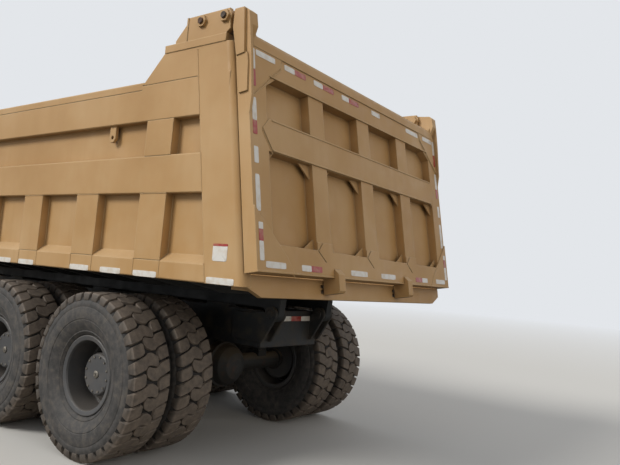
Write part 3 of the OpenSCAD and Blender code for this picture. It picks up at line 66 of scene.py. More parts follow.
# Where the wheels stand, read from the frame's own tyres
WHEELS = {}
for axle, kind in (("front", "tyre"), ("middle", "tyres"), ("rear", "tyres")):
    for flank in ("left", "right"):
        low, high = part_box(f"{kind}_{axle}_{flank}")
        WHEELS[f"{kind}_{axle}_{flank}"] = (np.array(low), np.array(high))
TYRE_LOW, TYRE_HIGH = WHEELS["tyre_front_left"]
TYRE_R = float(TYRE_HIGH[2] - TYRE_LOW[2]) / 2
TYRE_W = float(TYRE_HIGH[1] - TYRE_LOW[1])
AXLE_Z = float(TYRE_LOW[2] + TYRE_HIGH[2]) / 2
REAR_X = float(WHEELS["tyres_rear_left"][0][0] + WHEELS["tyres_rear_left"][1][0]) / 2

# The load bed, in metres from the rear axle, the middle and the ground: where its leaning tail
# starts, how far that leans for each metre up, its foot and its flank; and the frame's rear end
TAIL_FOOT, TAIL_LEAN, BED_FOOT, BED_SIDE = -1.9027, 0.177, 1.67, 1.725
FRAME_REAR = REAR_X - 0.93
TAIL_UP = np.array([TAIL_LEAN, 0, 1]) / math.hypot(TAIL_LEAN, 1)
TAIL_OUT = np.array([-TAIL_UP[2], 0, TAIL_UP[0]])


def linear(code):
    """An sRGB hex code as linear red, green, blue and alpha."""
    part = np.array([int(code[i:i + 2], 16) for i in (1, 3, 5)]) / 255
    return (*np.where(part <= 0.04045, part / 12.92, ((part + 0.055) / 1.055) ** 2.4), 1.0)


def hue(label, text, code):
    """A colour setting with its default as a hex code."""
    return bpy.props.FloatVectorProperty(
        name=label, description=text, subtype="COLOR", size=4, min=0, max=1, default=linear(code))


def length(label, text, metres):
    """A length setting in metres."""
    return bpy.props.FloatProperty(
        name=label, description=text, default=metres, min=0, subtype="DISTANCE", unit="LENGTH")


class TruckColours(bpy.types.PropertyGroup):
    """Colours of the truck's finishes."""
    body: hue("Body enamel", "Golden tan of the load bed, cab and hood", "#BC945F")
    body_pale: hue("Sun-bleached enamel", "Chalky patches of the body enamel", "#C6A272")
    body_deep: hue("Rubbed enamel", "Richer patches where hands and rain clean it", "#B38A53")
    dust: hue("Quarry dust", "Dry dust that lies on everything", "#C4AA84")
    # brown painted shade that the enamels take in corners and under downward faces
    grime: hue("Grime", "Oily dust in corners and under edges", "#50402E")
    chassis: hue("Chassis enamel", "Black of the frame, axles and tanks", "#1F2224")
    rim: hue("Rim enamel", "Dark grey of the rims and hubs", "#4D4E50")
    rubber: hue("Tyre rubber", "Sidewall of the tyres", "#333332")
    tread: hue("Tread", "Dusty tops of the tread's blocks", "#6C6258")
    iron: hue("Cast iron", "Engine, gearbox and springs", "#343433")
    trim: hue("Moulded trim", "Black plastic of mirrors and ducts", "#202123")
    cloth: hue("Seat cloth", "Woven cloth of the seats", "#33363C")
    tape_white: hue("White sheeting", "White strips of the reflective tape", "#E4E2DC")
    tape_red: hue("Red sheeting", "Red strips of the reflective tape", "#A8332B")
    floor: hue("Floor", "Pale studio floor", "#D9D8D4")
    backdrop: hue("Backdrop", "Pale studio background", "#E3E6EA")


class TruckSizes(bpy.types.PropertyGroup):
    """Sizes of the added pieces."""
    pitches: bpy.props.IntProperty(
        name="Tread pitches", description="Pairs of a long and a short block round each shoulder",
        default=18, min=8, max=30)
    bolt: length("Bolt head", "Radius over the flats of a hub bolt's head", 0.011)
    tape: length("Tape width", "Width of the reflective tape", 0.05)
    bead: length("Weld bead", "Radius of a weld bead", 0.005)


class TruckStage(bpy.types.PropertyGroup):
    """Lamps and camera of the stage."""
    key: bpy.props.FloatProperty(
        name="Key lamp", description="Strength of the soft key lamp", default=2.0, min=0)
    bounce: bpy.props.FloatProperty(
        name="Bounce lamp", description="Strength of the warm light from behind", default=0.5,
        min=0)
    sky: bpy.props.FloatProperty(
        name="Fill", description="Strength of the even light from all round", default=0.5, min=0)
    lens: bpy.props.FloatProperty(
        name="Lens", description="Focal length of the camera in millimetres", default=35.65, min=10)


def colours():
    """The truck's colour settings."""
    return bpy.context.scene.truck_colours


def sizes():
    """The truck's size settings."""
    return bpy.context.scene.truck_sizes


# Meshes


def circle(count):
    """Equal steps of one full turn, in radians."""
    return np.linspace(0, 2 * math.pi, count, endpoint=False)


def squared(wave, power):
    """A sine or cosine pushed towards 1 and -1 by a power below 1, so that a circle becomes a
    rectangle with rounded corners."""
    return np.sign(wave) * abs(wave) ** power


class Shell:
    """Gathers grids of points and makes one mesh of them. A grid has rows and columns, and
    may be closed along either; a whole set of like grids goes in as one array."""

    def __init__(self):
        self.points, self.faces, self.marks, self.count = [], [], [], 0

    def add(self, points, closed_rows=False, closed_columns=True, mark=0.0):
        points = np.asarray(points, float)
        rows, columns = points.shape[-3:-1]
        sets = points.reshape(-1, rows * columns, 3)
        r = np.arange(rows if closed_rows else rows - 1)[:, None]
        c = np.arange(columns if closed_columns else columns - 1)[None]
        r1, c1 = (r + 1) % rows, (c + 1) % columns
        quads = np.stack(np.broadcast_arrays(
            r * columns + c, r * columns + c1, r1 * columns + c1, r1 * columns + c), -1)
        starts = self.count + np.arange(len(sets))[:, None, None] * rows * columns
        self.points.append(sets.reshape(-1, 3))
        self.faces.append((quads.reshape(1, -1, 4) + starts).reshape(-1, 4))
        self.marks.append(np.broadcast_to(mark, points.shape[:-1]).ravel())
        self.count += len(sets) * rows * columns

    def make(self, name, body, slot, material, sharp=35):
        """Joins the poles, turns the faces outwards and sets the piece on its body."""
        mesh = bpy.data.meshes.new(name)
        mesh.from_pydata(np.concatenate(self.points).tolist(), [],
                         np.concatenate(self.faces).tolist())
        wear = mesh.attributes.new("wear", "FLOAT", "POINT")
        wear.data.foreach_set("value", np.concatenate(self.marks).astype(np.float32))
        work = bmesh.new()
        work.from_mesh(mesh)
        bmesh.ops.remove_doubles(work, verts=work.verts, dist=1e-6)
        bmesh.ops.recalc_face_normals(work, faces=work.faces)
        work.to_mesh(mesh)
        work.free()
        mesh.shade_smooth()
        mesh.set_sharp_from_angle(angle=math.radians(sharp))
        mesh.materials.append(material)
        piece = bpy.data.objects.new(name, mesh)
        bpy.context.scene.collection.objects.link(piece)
        if body:
            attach(piece, body)
        return piece


def spun(profile, angles, centre, side=1):
    """Points of a profile of (distance from the axle, distance along it), turned about an
    axle along Y: x = centre - r cos a, z = centre + r sin a."""
    r, y = np.moveaxis(np.asarray(profile, float), -1, 0)
    r, y, a = np.broadcast_arrays(r, y, angles)
    return np.stack([centre[0] - r * np.cos(a), centre[1] + side * y,
                     centre[2] + r * np.sin(a)], -1)


# Size that the tyre's section is drawn for: radius, width and where its tread starts
DRAWN_R, DRAWN_W, DRAWN_TREAD = 0.745, 0.43, 0.668
# Half of a tyre's section: distance from the axle and from the middle plane, in millimetres
CARCASS = np.array([
    (318.5, 128), (345, 130.5), (358, 131.5), (361, 141), (371, 152), (383, 161), (387, 166.5),
    (392, 167.5), (397, 164.5), (428, 184), (466, 199.5), (490, 206.5), (493, 204), (499, 205),
    (503, 209.5), (533, 214), (562, 213.6), (588, 210.5), (603, 207.8), (606, 204.5),
    (613, 203.5), (617, 205.5), (640, 202.5), (663, 198.5), (669, 194.5), (690, 187.5),
    (705, 174), (715, 150), (720, 100), (722, 0)]) / 1000
# The tread's top and its floor: way across from the middle, distance from the axle, sideways
TREAD_TOP = np.array([
    (0, 745, 0), (110, 744.6, 110), (160, 742.5, 160), (184, 739.5, 183), (201, 723, 196),
    (224, 699, 200.5), (250, 671, 203)]) / 1000
TREAD_FLOOR = np.array([
    (0, 721, 0), (110, 718.5, 100), (158, 713, 146), (170, 708, 160), (197, 697, 176),
    (222, 686, 184), (250, 664, 193)]) / 1000
# Blocks of one shoulder: way across in millimetres, upper and lower edge in pitches
LONG_BLOCK = np.array([
    (250, -0.07, -0.37), (224, -0.045, -0.395), (201, -0.02, -0.42), (184, 0, -0.425),
    (168, 0.02, -0.415),
    (120, 0.105, -0.35), (76, 0.17, -0.285), (60, 0.21, -0.225), (46, 0.27, -0.155),
    (0, 0.28, -0.16), (-40, 0.2, -0.205), (-58, 0.14, -0.16), (-66, 0.06, -0.09)])
SHORT_BLOCK = np.array([
    (250, -0.56, -0.87), (224, -0.535, -0.895), (201, -0.52, -0.92), (184, -0.5, -0.925),
    (168, -0.48, -0.915),
    (120, -0.425, -0.865), (90, -0.385, -0.81), (76, -0.42, -0.75), (69, -0.5, -0.68)])
# How far the other shoulder's blocks are turned, and half a groove's width, in pitches
FACING, GROOVE = 0.62, 0.007


def wheel_body(node):
    """The body that a tyre's node rides on."""
    return node.split("_", 1)[1] + ("_wheel" if node.startswith("tyre_") else "_wheels")


def tread_blocks(outline, pitches, turn, centre, side, facing):
    """Blocks of one shoulder. Along a block runs its outline, across it a section of six
    points, base, bevel and top on each side; each end closes in a pole. A point lies between
    the tread's floor and its top by its height, from 0 to 1. The second array says how far
    the rubber is scrubbed: wholly on top, less on the shoulder."""
    way, upper, lower = outline.T
    step = np.sign(way[-1] - way[0]) * 5
    way = np.r_[way[0], way[0], way[0] + step, way[1:-1], way[-1] - step, way[-1], way[-1]]
    across = [np.interp(-way, -outline[:, 0], edge) for edge in (upper, lower)]
    middle, half = (across[0] + across[1]) / 2, (across[0] - across[1]) / 2 - GROOVE
    half[[0, -1]] = 0
    section = np.array([-1.03, -1, -0.92, 0.92, 1, 1.03])
    height = np.minimum.outer(
        np.r_[0.4, 0.8, np.ones(len(way) - 4), 0.8, 0.4], [-0.1, 0.84, 1, 1, 0.84, -0.1])
    height[[0, -1]] = 0.4
    offset = middle[:, None] + half[:, None] * section
    way = way / 1000 * np.ones_like(offset.T)
    way, offset = (way.T, offset) if not facing else (-way.T, FACING - offset)
    top = [np.interp(abs(way), TREAD_TOP[:, 0], TREAD_TOP[:, k]) for k in (1, 2)]
    floor = [np.interp(abs(way), TREAD_FLOOR[:, 0], TREAD_FLOOR[:, k]) for k in (1, 2)]
    r, y = (f + (t - f) * height for f, t in zip(floor, top))
    pitch = 2 * math.pi / pitches
    angles = turn + pitch * (np.arange(pitches)[:, None, None] + offset)
    scrubbed = np.interp(abs(way), (0.184, 0.201), (1, 0.78)) * np.ones_like(angles)
    return spun(np.stack([r, y * np.sign(way)], -1), angles, centre, side), scrubbed


class TRUCK_OT_tyres(bpy.types.Operator):
    """Builds the tyres: a carcass turned about the axle, with long and short tread blocks
    that interlock from both shoulders"""
    bl_idname = "truck.tyres"
    bl_label = "Tyres"

    def execute(self, context):
        rubber = tyre_rubber()
        scale = (TYRE_R / DRAWN_R, TYRE_W / DRAWN_W)
        half = CARCASS * scale
        profile = np.concatenate([half, (half * (1, -1))[-2::-1]])
        # the carcass under the tread is marked 0.35, which the rubber paints near black as groove
        # shade
        mark = np.where(profile[:, 0] > DRAWN_TREAD * scale[0], 0.35, 0.0)
        pitches = sizes().pitches
        for number, (node, (low, high)) in enumerate(WHEELS.items()):
            side = 1 if low[1] > 0 else -1
            shell = Shell()
            # a twin pair's box holds two middles, a single tyre's box one
            middles = {round(float(low[1] + TYRE_W / 2), 4), round(float(high[1] - TYRE_W / 2), 4)}
            for k, y in enumerate(sorted(middles)):
                centre = (float(low[0] + high[0]) / 2, y, AXLE_Z)
                shell.add(spun(profile, circle(72)[:, None], centre, side), closed_rows=True,
                          mark=mark)
                # each tyre stands turned by its own angle
                turn = 2.4 * (number * 2 + k)
                for outline in (LONG_BLOCK, SHORT_BLOCK):
                    for facing in (False, True):
                        blocks, scrubbed = tread_blocks(outline, pitches, turn, centre, side,
                                                        facing)
                        shell.add(blocks, mark=scrubbed)
            piece = shell.make(node + "_tread", wheel_body(node), "tyre", rubber)
            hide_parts(node)
        return {"FINISHED"}


def hexagons(places, out, radius, height):
    """Hexagon bolt heads on a plane across Y: rings of six points from a pole at the seat,
    over the flanks and the bevelled top, to a pole at the middle."""
    ring = np.array([0, 1, 1, 0.84, 0.4, 0]) * radius
    rise = np.array([-0.1, -0.1, 0.8, 1, 1, 1]) * height
    a = circle(6)
    places = np.asarray(places, float)[:, None, None, :]
    return places + np.stack(np.broadcast_arrays(
        ring[:, None] * np.cos(a), out * rise[:, None], ring[:, None] * np.sin(a)), -1)


# Threaded ends of the gate's pins: places from the rear axle, height, how far they start out of
# the bed's flank; and distance from the axis and along it, a chamfered end with a centre hole
PIN_PLACES, PIN_Z, PIN_OUT = (-1.345, -1.084), 3.795, 0.023
PIN_END = np.array([(0, 0), (0.027, 0), (0.027, 0.012), (0.023, 0.016), (0.008, 0.016),
                    (0, 0.011)])
# Filler plug at a hub cover's middle, likewise
PLUG = np.array([(0, 0), (0.034, 0), (0.034, 0.008), (0.026, 0.013), (0.014, 0.014),
                 (0.012, 0.02), (0, 0.02)])


class TRUCK_OT_pin_ends(bpy.types.Operator):
    """Sets the threaded ends of the gate's pins in their nuts"""
    bl_idname = "truck.pin_ends"
    bl_label = "Pin ends"

    def execute(self, context):
        shell = Shell()
        for side in (1, -1):
            for x in PIN_PLACES:
                shell.add(spun(PIN_END + (0, BED_SIDE + PIN_OUT), circle(24)[:, None],
                               (REAR_X + x, 0, PIN_Z), side).transpose(1, 0, 2))
        shell.make("gate_pin_ends", "load_bed", "machine_iron",
                   cast_iron("rusty_bolt_steel", linear("#4A4038"), 0.8))
        return {"FINISHED"}


class TRUCK_OT_hub_bolts(bpy.types.Operator):
    """Sets bolt heads round the hub covers and nuts round the wheel discs"""
    bl_idname = "truck.hub_bolts"
    bl_label = "Hub bolts"

    def execute(self, context):
        steel = zinc_steel()
        for node, (low, high) in WHEELS.items():
            rim_low, rim_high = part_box(node.replace("tyre", "rim"))
            side = 1 if low[1] > 0 else -1
            x = float(low[0] + high[0]) / 2
            edge = rim_high[1] if side > 0 else -rim_low[1]
            shell = Shell()
            # rings: count, radius, depth behind the rim's edge, radius and height of a head
            rings = ([(10, 0.142, 0.0545, 0.017, 0.026)] if "front" in node else
                     [(12, 0.156, 0.115, sizes().bolt, 0.009), (10, 0.2215, 0.328, 0.017, 0.03)])
            for count, radius, depth, head, height in rings:
                a = circle(count) + 0.2
                places = np.stack([x + radius * np.cos(a), np.full(count, side * (edge - depth)),
                                   AXLE_Z + radius * np.sin(a)], -1)
                shell.add(hexagons(places, side, head, height))
            # the hub cover's face lies behind the rim's edge
            face = edge - (0.03 if "front" in node else 0.115)
            shell.add(spun(PLUG + (0, face), circle(24)[:, None], (x, 0, AXLE_Z),
                           side).transpose(1, 0, 2))
            shell.make(node.split("_", 1)[1] + "_hub_bolts", wheel_body(node), "machine_iron",
                       steel)
        return {"FINISHED"}


def tiles(corners, thickness=0.003):
    """Thin plates with rounded corners. Each is given by its middle, half length and half
    width vectors; rings of a superellipse run from a pole at the back, round the edge, to a
    pole at the front."""
    middle, along, across = (np.asarray(c, float)[:, None, None, :] for c in zip(*corners))
    a = circle(32) + math.pi / 32
    u, v = squared(np.cos(a), 0.22), squared(np.sin(a), 0.22)
    out = np.cross(along, across)
    out /= np.linalg.norm(out, axis=-1, keepdims=True)
    size = np.array([0, 1, 1, 0.985, 0])[:, None, None]
    rise = np.array([0, 0, 0.7, 1, 1])[:, None, None] * thickness
    return middle + size * (u[:, None] * along + v[:, None] * across) + rise * out


def on_gate(y, z, proud=0.0):
    """A point on the gate's leaning rear face, standing proud of it."""
    return np.array([REAR_X + TAIL_FOOT + TAIL_LEAN * (z - BED_FOOT), y, z]) + proud * TAIL_OUT


# Reflective tape, in metres. Columns: from, to, stands proud of the gate's face, red
GATE_STILE = [(3.53, 3.36, 0.006, 0), (3.36, 3.22, 0.006, 1), (3.13, 2.945, 0, 0),
              (2.945, 2.835, 0, 1), (2.74, 2.61, 0, 0), (2.525, 2.245, 0, 0),
              (2.16, 2.108, 0.013, 0), (2.108, 2.02, 0.013, 1), (2.02, 1.875, 0.013, 0)]
GATE_TOP = [(1.6, 1.36, 0.006, 0), (1.23, 1.09, 0, 0), (1.09, 0.93, 0, 1), (0.81, 0.67, 0, 0),
            (0.67, 0.49, 0, 1), (0.355, 0.23, 0, 0), (0.23, 0.05, 0, 1), (-0.2, -0.37, 0, 0),
            (-0.955, -1.25, 0, 0), (-1.36, -1.6, 0.006, 0)]
GATE_FOOT = [(1.6, 1.36, 0.013, 0), (1.15, 1.02, 0.008, 0), (1.02, 0.866, 0.008, 1),
             (0.415, 0.13, 0.008, 0), (-0.13, -0.415, 0.008, 0), (-0.866, -1.02, 0.008, 1),
             (-1.02, -1.15, 0.008, 0), (-1.36, -1.6, 0.013, 0)]
SIDE_FOOT = [(-1.695, -1.405, 0, 0), (-0.82, -0.52, 0, 0), (-0.345, -0.055, 0, 0),
             (0.125, 0.42, 0, 0), (1.06, 1.345, 0, 0), (1.5, 1.78, 0, 0), (2.2, 2.5, 0, 0),
             (2.92, 3.22, 0, 0), (3.64, 3.94, 0, 0)]
CROSS_MEMBER = [(0.34, 0.17, 0, 1), (0.17, 0, 0, 0), (0, -0.17, 0, 1), (-0.17, -0.34, 0, 0)]
# How far from the middle the gate's upright strips are, and the heights of the level ones
STILE_Y, TOP_Z, FOOT_Z, SIDE_Z, MEMBER_Z = 1.64, 3.508, 1.85, 1.697, 1.34
# The blank notice on a rear post: its middle from the rear axle and the ground, and its half
# width; then of its white field and its red head the rise and the half height
NOTICE_X, NOTICE_Z, NOTICE_HALF = -1.526, 1.913, 0.077
NOTICE_PARTS = ((0, 0, 0.067), (1, 0.057, 0.01))


class TRUCK_OT_tape(bpy.types.Operator):
    """Lays the white and red reflective tape along the gate, the bed's foot and the frame's
    rear member, and a blank plate on each rear post"""
    bl_idname = "truck.tape"
    bl_label = "Reflective tape"

    def execute(self, context):
        half = sizes().tape / 2
        y_way, z_way = np.array([0, 1, 0]), np.array([0, 0, 1])
        found = {}

        def lay(body, red, a, b, across):
            """A strip between two points; across points to the side its front turns from."""
            along = (b - a) / 2
            found.setdefault((body, red), []).append(((a + b) / 2, along, across))

        for side in (1, -1):
            for low, high, proud, red in GATE_STILE:
                lay("rear_gate", red, on_gate(side * STILE_Y, high, proud),
                    on_gate(side * STILE_Y, low, proud), half * y_way)
            for low, high, _, red in SIDE_FOOT:
                y = side * BED_SIDE
                lay("load_bed", red, np.array([REAR_X + low, y, SIDE_Z]),
                    np.array([REAR_X + high, y, SIDE_Z]), -side * half * z_way)
        for row, z in ((GATE_TOP, TOP_Z), (GATE_FOOT, FOOT_Z)):
            for left, right, proud, red in row:
                lay("rear_gate", red, on_gate(right, z, proud), on_gate(left, z, proud),
                    -half * TAIL_UP)
        for left, right, _, red in CROSS_MEMBER:
            lay("chassis", red, np.array([FRAME_REAR, right, MEMBER_Z]),
                np.array([FRAME_REAR, left, MEMBER_Z]), -half * z_way)
        for side in (1, -1):
            plate = np.array([REAR_X + NOTICE_X, side * BED_SIDE, NOTICE_Z])
            for red, rise, half_height in NOTICE_PARTS:
                # the head lies 1 mm on the field
                lay("load_bed", red, plate + (-NOTICE_HALF, side * 0.001 * red, rise),
                    plate + (NOTICE_HALF, side * 0.001 * red, rise), -side * half_height * z_way)
        film = {0: sheeting("white_sheeting", colours().tape_white),
                1: sheeting("red_sheeting", colours().tape_red)}
        for (body, red), strips in found.items():
            shell = Shell()
            shell.add(tiles(strips))
            shell.make(f"{body}_tape_{'red' if red else 'white'}", body, "body_paint",
                       film[red])
        return {"FINISHED"}


def pad(middle, along, across, thick, channels):
    """A crowned cushion: rings of a superellipse, given by half vectors, from a pole on top to
    one below. The sides draw in by 4% between the corners, a welt stands out where the two
    covers meet, and sewn channels dip 7 mm at the given places along it, from -1 to 1."""
    middle, along, across, thick = (np.asarray(v, float) for v in (middle, along, across, thick))
    a = circle(96)
    turn = np.linspace(0, math.pi, 37)[:, None]
    reach = np.sin(turn).clip(0) ** 0.3
    reach[[0, -1]] = 0
    rise = np.cos(turn)
    rise = squared(rise, np.where(rise > 0, 0.6, 0.3))
    reach = reach + 0.02 * np.exp(-((turn - math.pi / 2) / 0.07) ** 2)
    u, v = reach * squared(np.cos(a), 0.3), reach * squared(np.sin(a), 0.3)
    u, v = u * (1 - 0.04 * (1 - v ** 2).clip(0)), v * (1 - 0.04 * (1 - u ** 2).clip(0))
    crown = 0.86 + 0.14 * (1 - u ** 2).clip(0) * (1 - v ** 2).clip(0)
    for place in channels:
        dip = 0.007 / np.linalg.norm(thick)
        crown = crown - dip * np.exp(-((u - place) / 0.02) ** 2) * (abs(v) < 0.94)
    rise = np.where(rise > 0, rise * crown, 0.94 * rise) * np.ones_like(u)
    return middle + u[..., None] * along + v[..., None] * across + rise[..., None] * thick


def tube(path, radius, sides=12):
    """A round bar along the given points of one vertical or level plane: rings square to its
    run, closed by a pole at each end."""
    path = np.asarray(path, float)
    run = np.gradient(path, axis=0)
    run /= np.linalg.norm(run, axis=1, keepdims=True)
    normal = np.cross(path[-1] - path[0], run[len(run) // 2] + (0.3, 0.2, 0.1))
    first = np.cross(run, normal / np.linalg.norm(normal))
    first /= np.linalg.norm(first, axis=1, keepdims=True)
    second = np.cross(run, first)
    a = circle(sides)
    size = np.r_[0, np.full(len(path), radius), 0]
    path, first, second = (np.r_[v[:1], v, v[-1:]] for v in (path, first, second))
    return (path[:, None] + size[:, None, None] * (
        np.cos(a)[:, None] * first[:, None] + np.sin(a)[:, None] * second[:, None]))


# Welds seen on each flank of the bed, in metres from the rear axle, half way across and from
# the ground: ribs' middles and half width, the rails' edges, the rear post's front edge
RIBS, RIB_HALF = -0.675 + 0.933 * np.arange(6), 0.168
FOOT_RAIL, MIDDLE_RAIL, TOP_RAIL = (1.675, 1.82), (2.377, 2.703), (3.01, 3.57)
POST_EDGE, BED_WALL = -1.39, 1.645
# Where the ribs' sloping feet end, and the rails' front end
RIB_FOOT, RAIL_FRONT = FOOT_RAIL[1] + 0.065, 4.25
# Welds on the gate: half way across, from the ground. Each is a line of points
GATE_WELDS = [
    [(1.475, 2.975), (1.5535, 2.884), (1.44, 2.719)],
    [(1.697, 2.259), (1.6215, 2.185), (1.3275, 1.896), (1.2395, 1.77)],
    [(1.2455, 3.57), (1.2745, 3.512), (1.2905, 3.452), (1.3845, 3.373), (1.4805, 3.283),
     (1.697, 3.098)]]


def weld(a, b, radius):
    """A fillet run between two points: a cord of six sides whose radius swells and shrinks by
    a tenth in ripples 22 mm apart, closed by a pole at each end."""
    a, b = np.asarray(a, float), np.asarray(b, float)
    span = np.linalg.norm(b - a)
    steps = max(4, 2 * int(span / 0.022))
    run = (b - a) / span
    first = np.cross(run, (0.31, 0.87, 0.23))
    first /= np.linalg.norm(first)
    second = np.cross(run, first)
    turn = circle(6)
    size = radius * (1 + 0.1 * (-1) ** np.arange(steps))
    size[[0, -1]] = 0
    along = np.r_[0, np.linspace(0, 1, steps - 2), 1]
    return (a + along[:, None, None] * (b - a) + size[:, None, None] * (
        np.cos(turn)[:, None] * first + np.sin(turn)[:, None] * second))


class TRUCK_OT_welds(bpy.types.Operator):
    """Lays the painted weld beads along the ribs, rails and posts of the bed's flanks and
    round the gate's plates"""
    bl_idname = "truck.welds"
    bl_label = "Weld beads"

    def execute(self, context):
        radius = sizes().bead
        lines = []
        for x in [*(RIBS - RIB_HALF), *(RIBS + RIB_HALF)]:
            lines.append([(x, BED_SIDE, FOOT_RAIL[0]), (x, BED_SIDE, FOOT_RAIL[1])])
            lines.append([(x, BED_WALL, RIB_FOOT), (x, BED_WALL, MIDDLE_RAIL[0])])
        for x in RIBS:
            lines.append([(x - RIB_HALF, BED_SIDE, MIDDLE_RAIL[0]),
                          (x + RIB_HALF, BED_SIDE, MIDDLE_RAIL[0])])
        for low, high in (FOOT_RAIL, MIDDLE_RAIL, TOP_RAIL):
            lines.append([(POST_EDGE + TAIL_LEAN * (z - BED_FOOT), BED_SIDE, z)
                          for z in (low, high)])
        for z in (MIDDLE_RAIL[1], TOP_RAIL[0]):
            lines.append([(POST_EDGE + TAIL_LEAN * (z - BED_FOOT), BED_WALL, z),
                          (RAIL_FRONT, BED_WALL, z)])
        flank, gate = Shell(), Shell()
        for side in (1, -1):
            for line in lines:
                a, b = (np.array([REAR_X + x, side * y, z]) for x, y, z in line)
                flank.add(weld(a, b, radius))
            for run in GATE_WELDS:
                for (y0, z0), (y1, z1) in zip(run, run[1:]):
                    gate.add(weld(on_gate(side * y0, z0), on_gate(side * y1, z1), radius))
        paint = bpy.data.materials["golden_tan_enamel"]
        flank.make("bed_weld_beads", "load_bed", "body_paint", paint)
        gate.make("gate_weld_beads", "rear_gate", "body_paint", paint)
        return {"FINISHED"}


# Pads of a seat, from its front and foot: middle, half length, half width, half thickness, and
# places of the sewn channels
SEAT_PADS = {
    "cushion": ((-0.275, 0.062), (0.262, 0), 0.24, (0, 0.056), (-0.45, 0, 0.45)),
    "back": ((-0.552, 0.405), (-0.062, 0.335), 0.235, (0.049, 0.009), (-0.5, 0, 0.5)),
    "headrest": ((-0.63, 0.858), (-0.008, 0.094), 0.13, (0.042, 0.003), ()),
}
# Points of a headrest's post, likewise, and half the way between seats and between posts
POST_RUN = ((-0.62, 0.7), (-0.625, 0.75), (-0.63, 0.8))
SEAT_STEP, POST_STEP, POST_R = 0.28, 0.06, 0.007


class TRUCK_OT_seats(bpy.types.Operator):
    """Builds the cab's two seats: a cushion, a back and a headrest of sewn cloth over foam,
    on the steel posts of the headrest"""
    bl_idname = "truck.seats"
    bl_label = "Seats"

    def execute(self, context):
        cloth = seat_cloth()
        low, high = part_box("seats")
        foot, front = float(low[2]), float(high[0])
        posts = Shell()
        for name, y in (("passenger", -SEAT_STEP), ("driver", SEAT_STEP)):
            y += float(low[1] + high[1]) / 2
            for kind, (middle, along, width, thick, channels) in SEAT_PADS.items():
                shell = Shell()
                shell.add(pad((front + middle[0], y, foot + middle[1]), (along[0], 0, along[1]),
                              (0, width, 0), (thick[0], 0, thick[1]), channels))
                piece = shell.make(f"{name}_seat_{kind}", "chassis", "seat", cloth, sharp=180)
                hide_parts("seats")
            for step in (-POST_STEP, POST_STEP):
                posts.add(tube([(front + x, y + step, foot + z) for x, z in POST_RUN], POST_R))
        piece = posts.make("headrest_posts", "chassis", "seat", zinc_steel())
        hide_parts("seats")
        return {"FINISHED"}


def gasket(corners, round_off, radius):
    """A closed bead round a flat window: four straight runs joined by quarter circles, as a
    ring of six-sided sections. Corners are given in order, as points."""
    corners = np.asarray(corners, float)
    path = []
    for k in range(4):
        here, back, on = corners[k], corners[k - 1], corners[(k + 1) % 4]
        back = (back - here) / np.linalg.norm(back - here)
        on = (on - here) / np.linalg.norm(on - here)
        a = np.linspace(0, math.pi / 2, 5)[:, None]
        path.append(here + round_off * ((1 - np.sin(a)) * back + (1 - np.cos(a)) * on))
    path = np.concatenate(path)
    run = np.roll(path, -1, 0) - np.roll(path, 1, 0)
    run /= np.linalg.norm(run, axis=1, keepdims=True)
    out = np.cross(corners[1] - corners[0], corners[3] - corners[0])
    out /= np.linalg.norm(out)
    turn = circle(6)
    return path[:, None] + radius * (np.cos(turn)[:, None] * out
                                     + np.sin(turn)[:, None] * np.cross(run, out)[:, None])


# The cab, in metres: its rear wall from the rear axle, its left flank, and the sides and edges
# of the flank's and the rear wall's window
CAB_REAR, CAB_FLANK = REAR_X + 4.96, 1.69
FLANK_WINDOW = (CAB_REAR + 0.16, CAB_REAR + 0.47), (2.42, 3.24)
REAR_WINDOW = (0.39, 1.39), (2.42, 3.18)
# The windscreen: its foot, how far it leans back for each metre up, and on it the sides and
# edges of the opening; and each wiper's spindle and the tip of its blade
SCREEN_FOOT, SCREEN_LEAN = 2.38, 0.19
SCREEN_WINDOW = (0.2, 1.58), (0.05, 0.89)
WIPERS = ((0.78, 0.3), (1.4, 0.92))
# A mirror's glass: how far in and down its middle is, half its height and width, its thickness
MIRROR_IN, MIRROR_DOWN, MIRROR_TALL, MIRROR_WIDE, MIRROR_THICK = 0.055, 0.26, 0.235, 0.044, 0.004


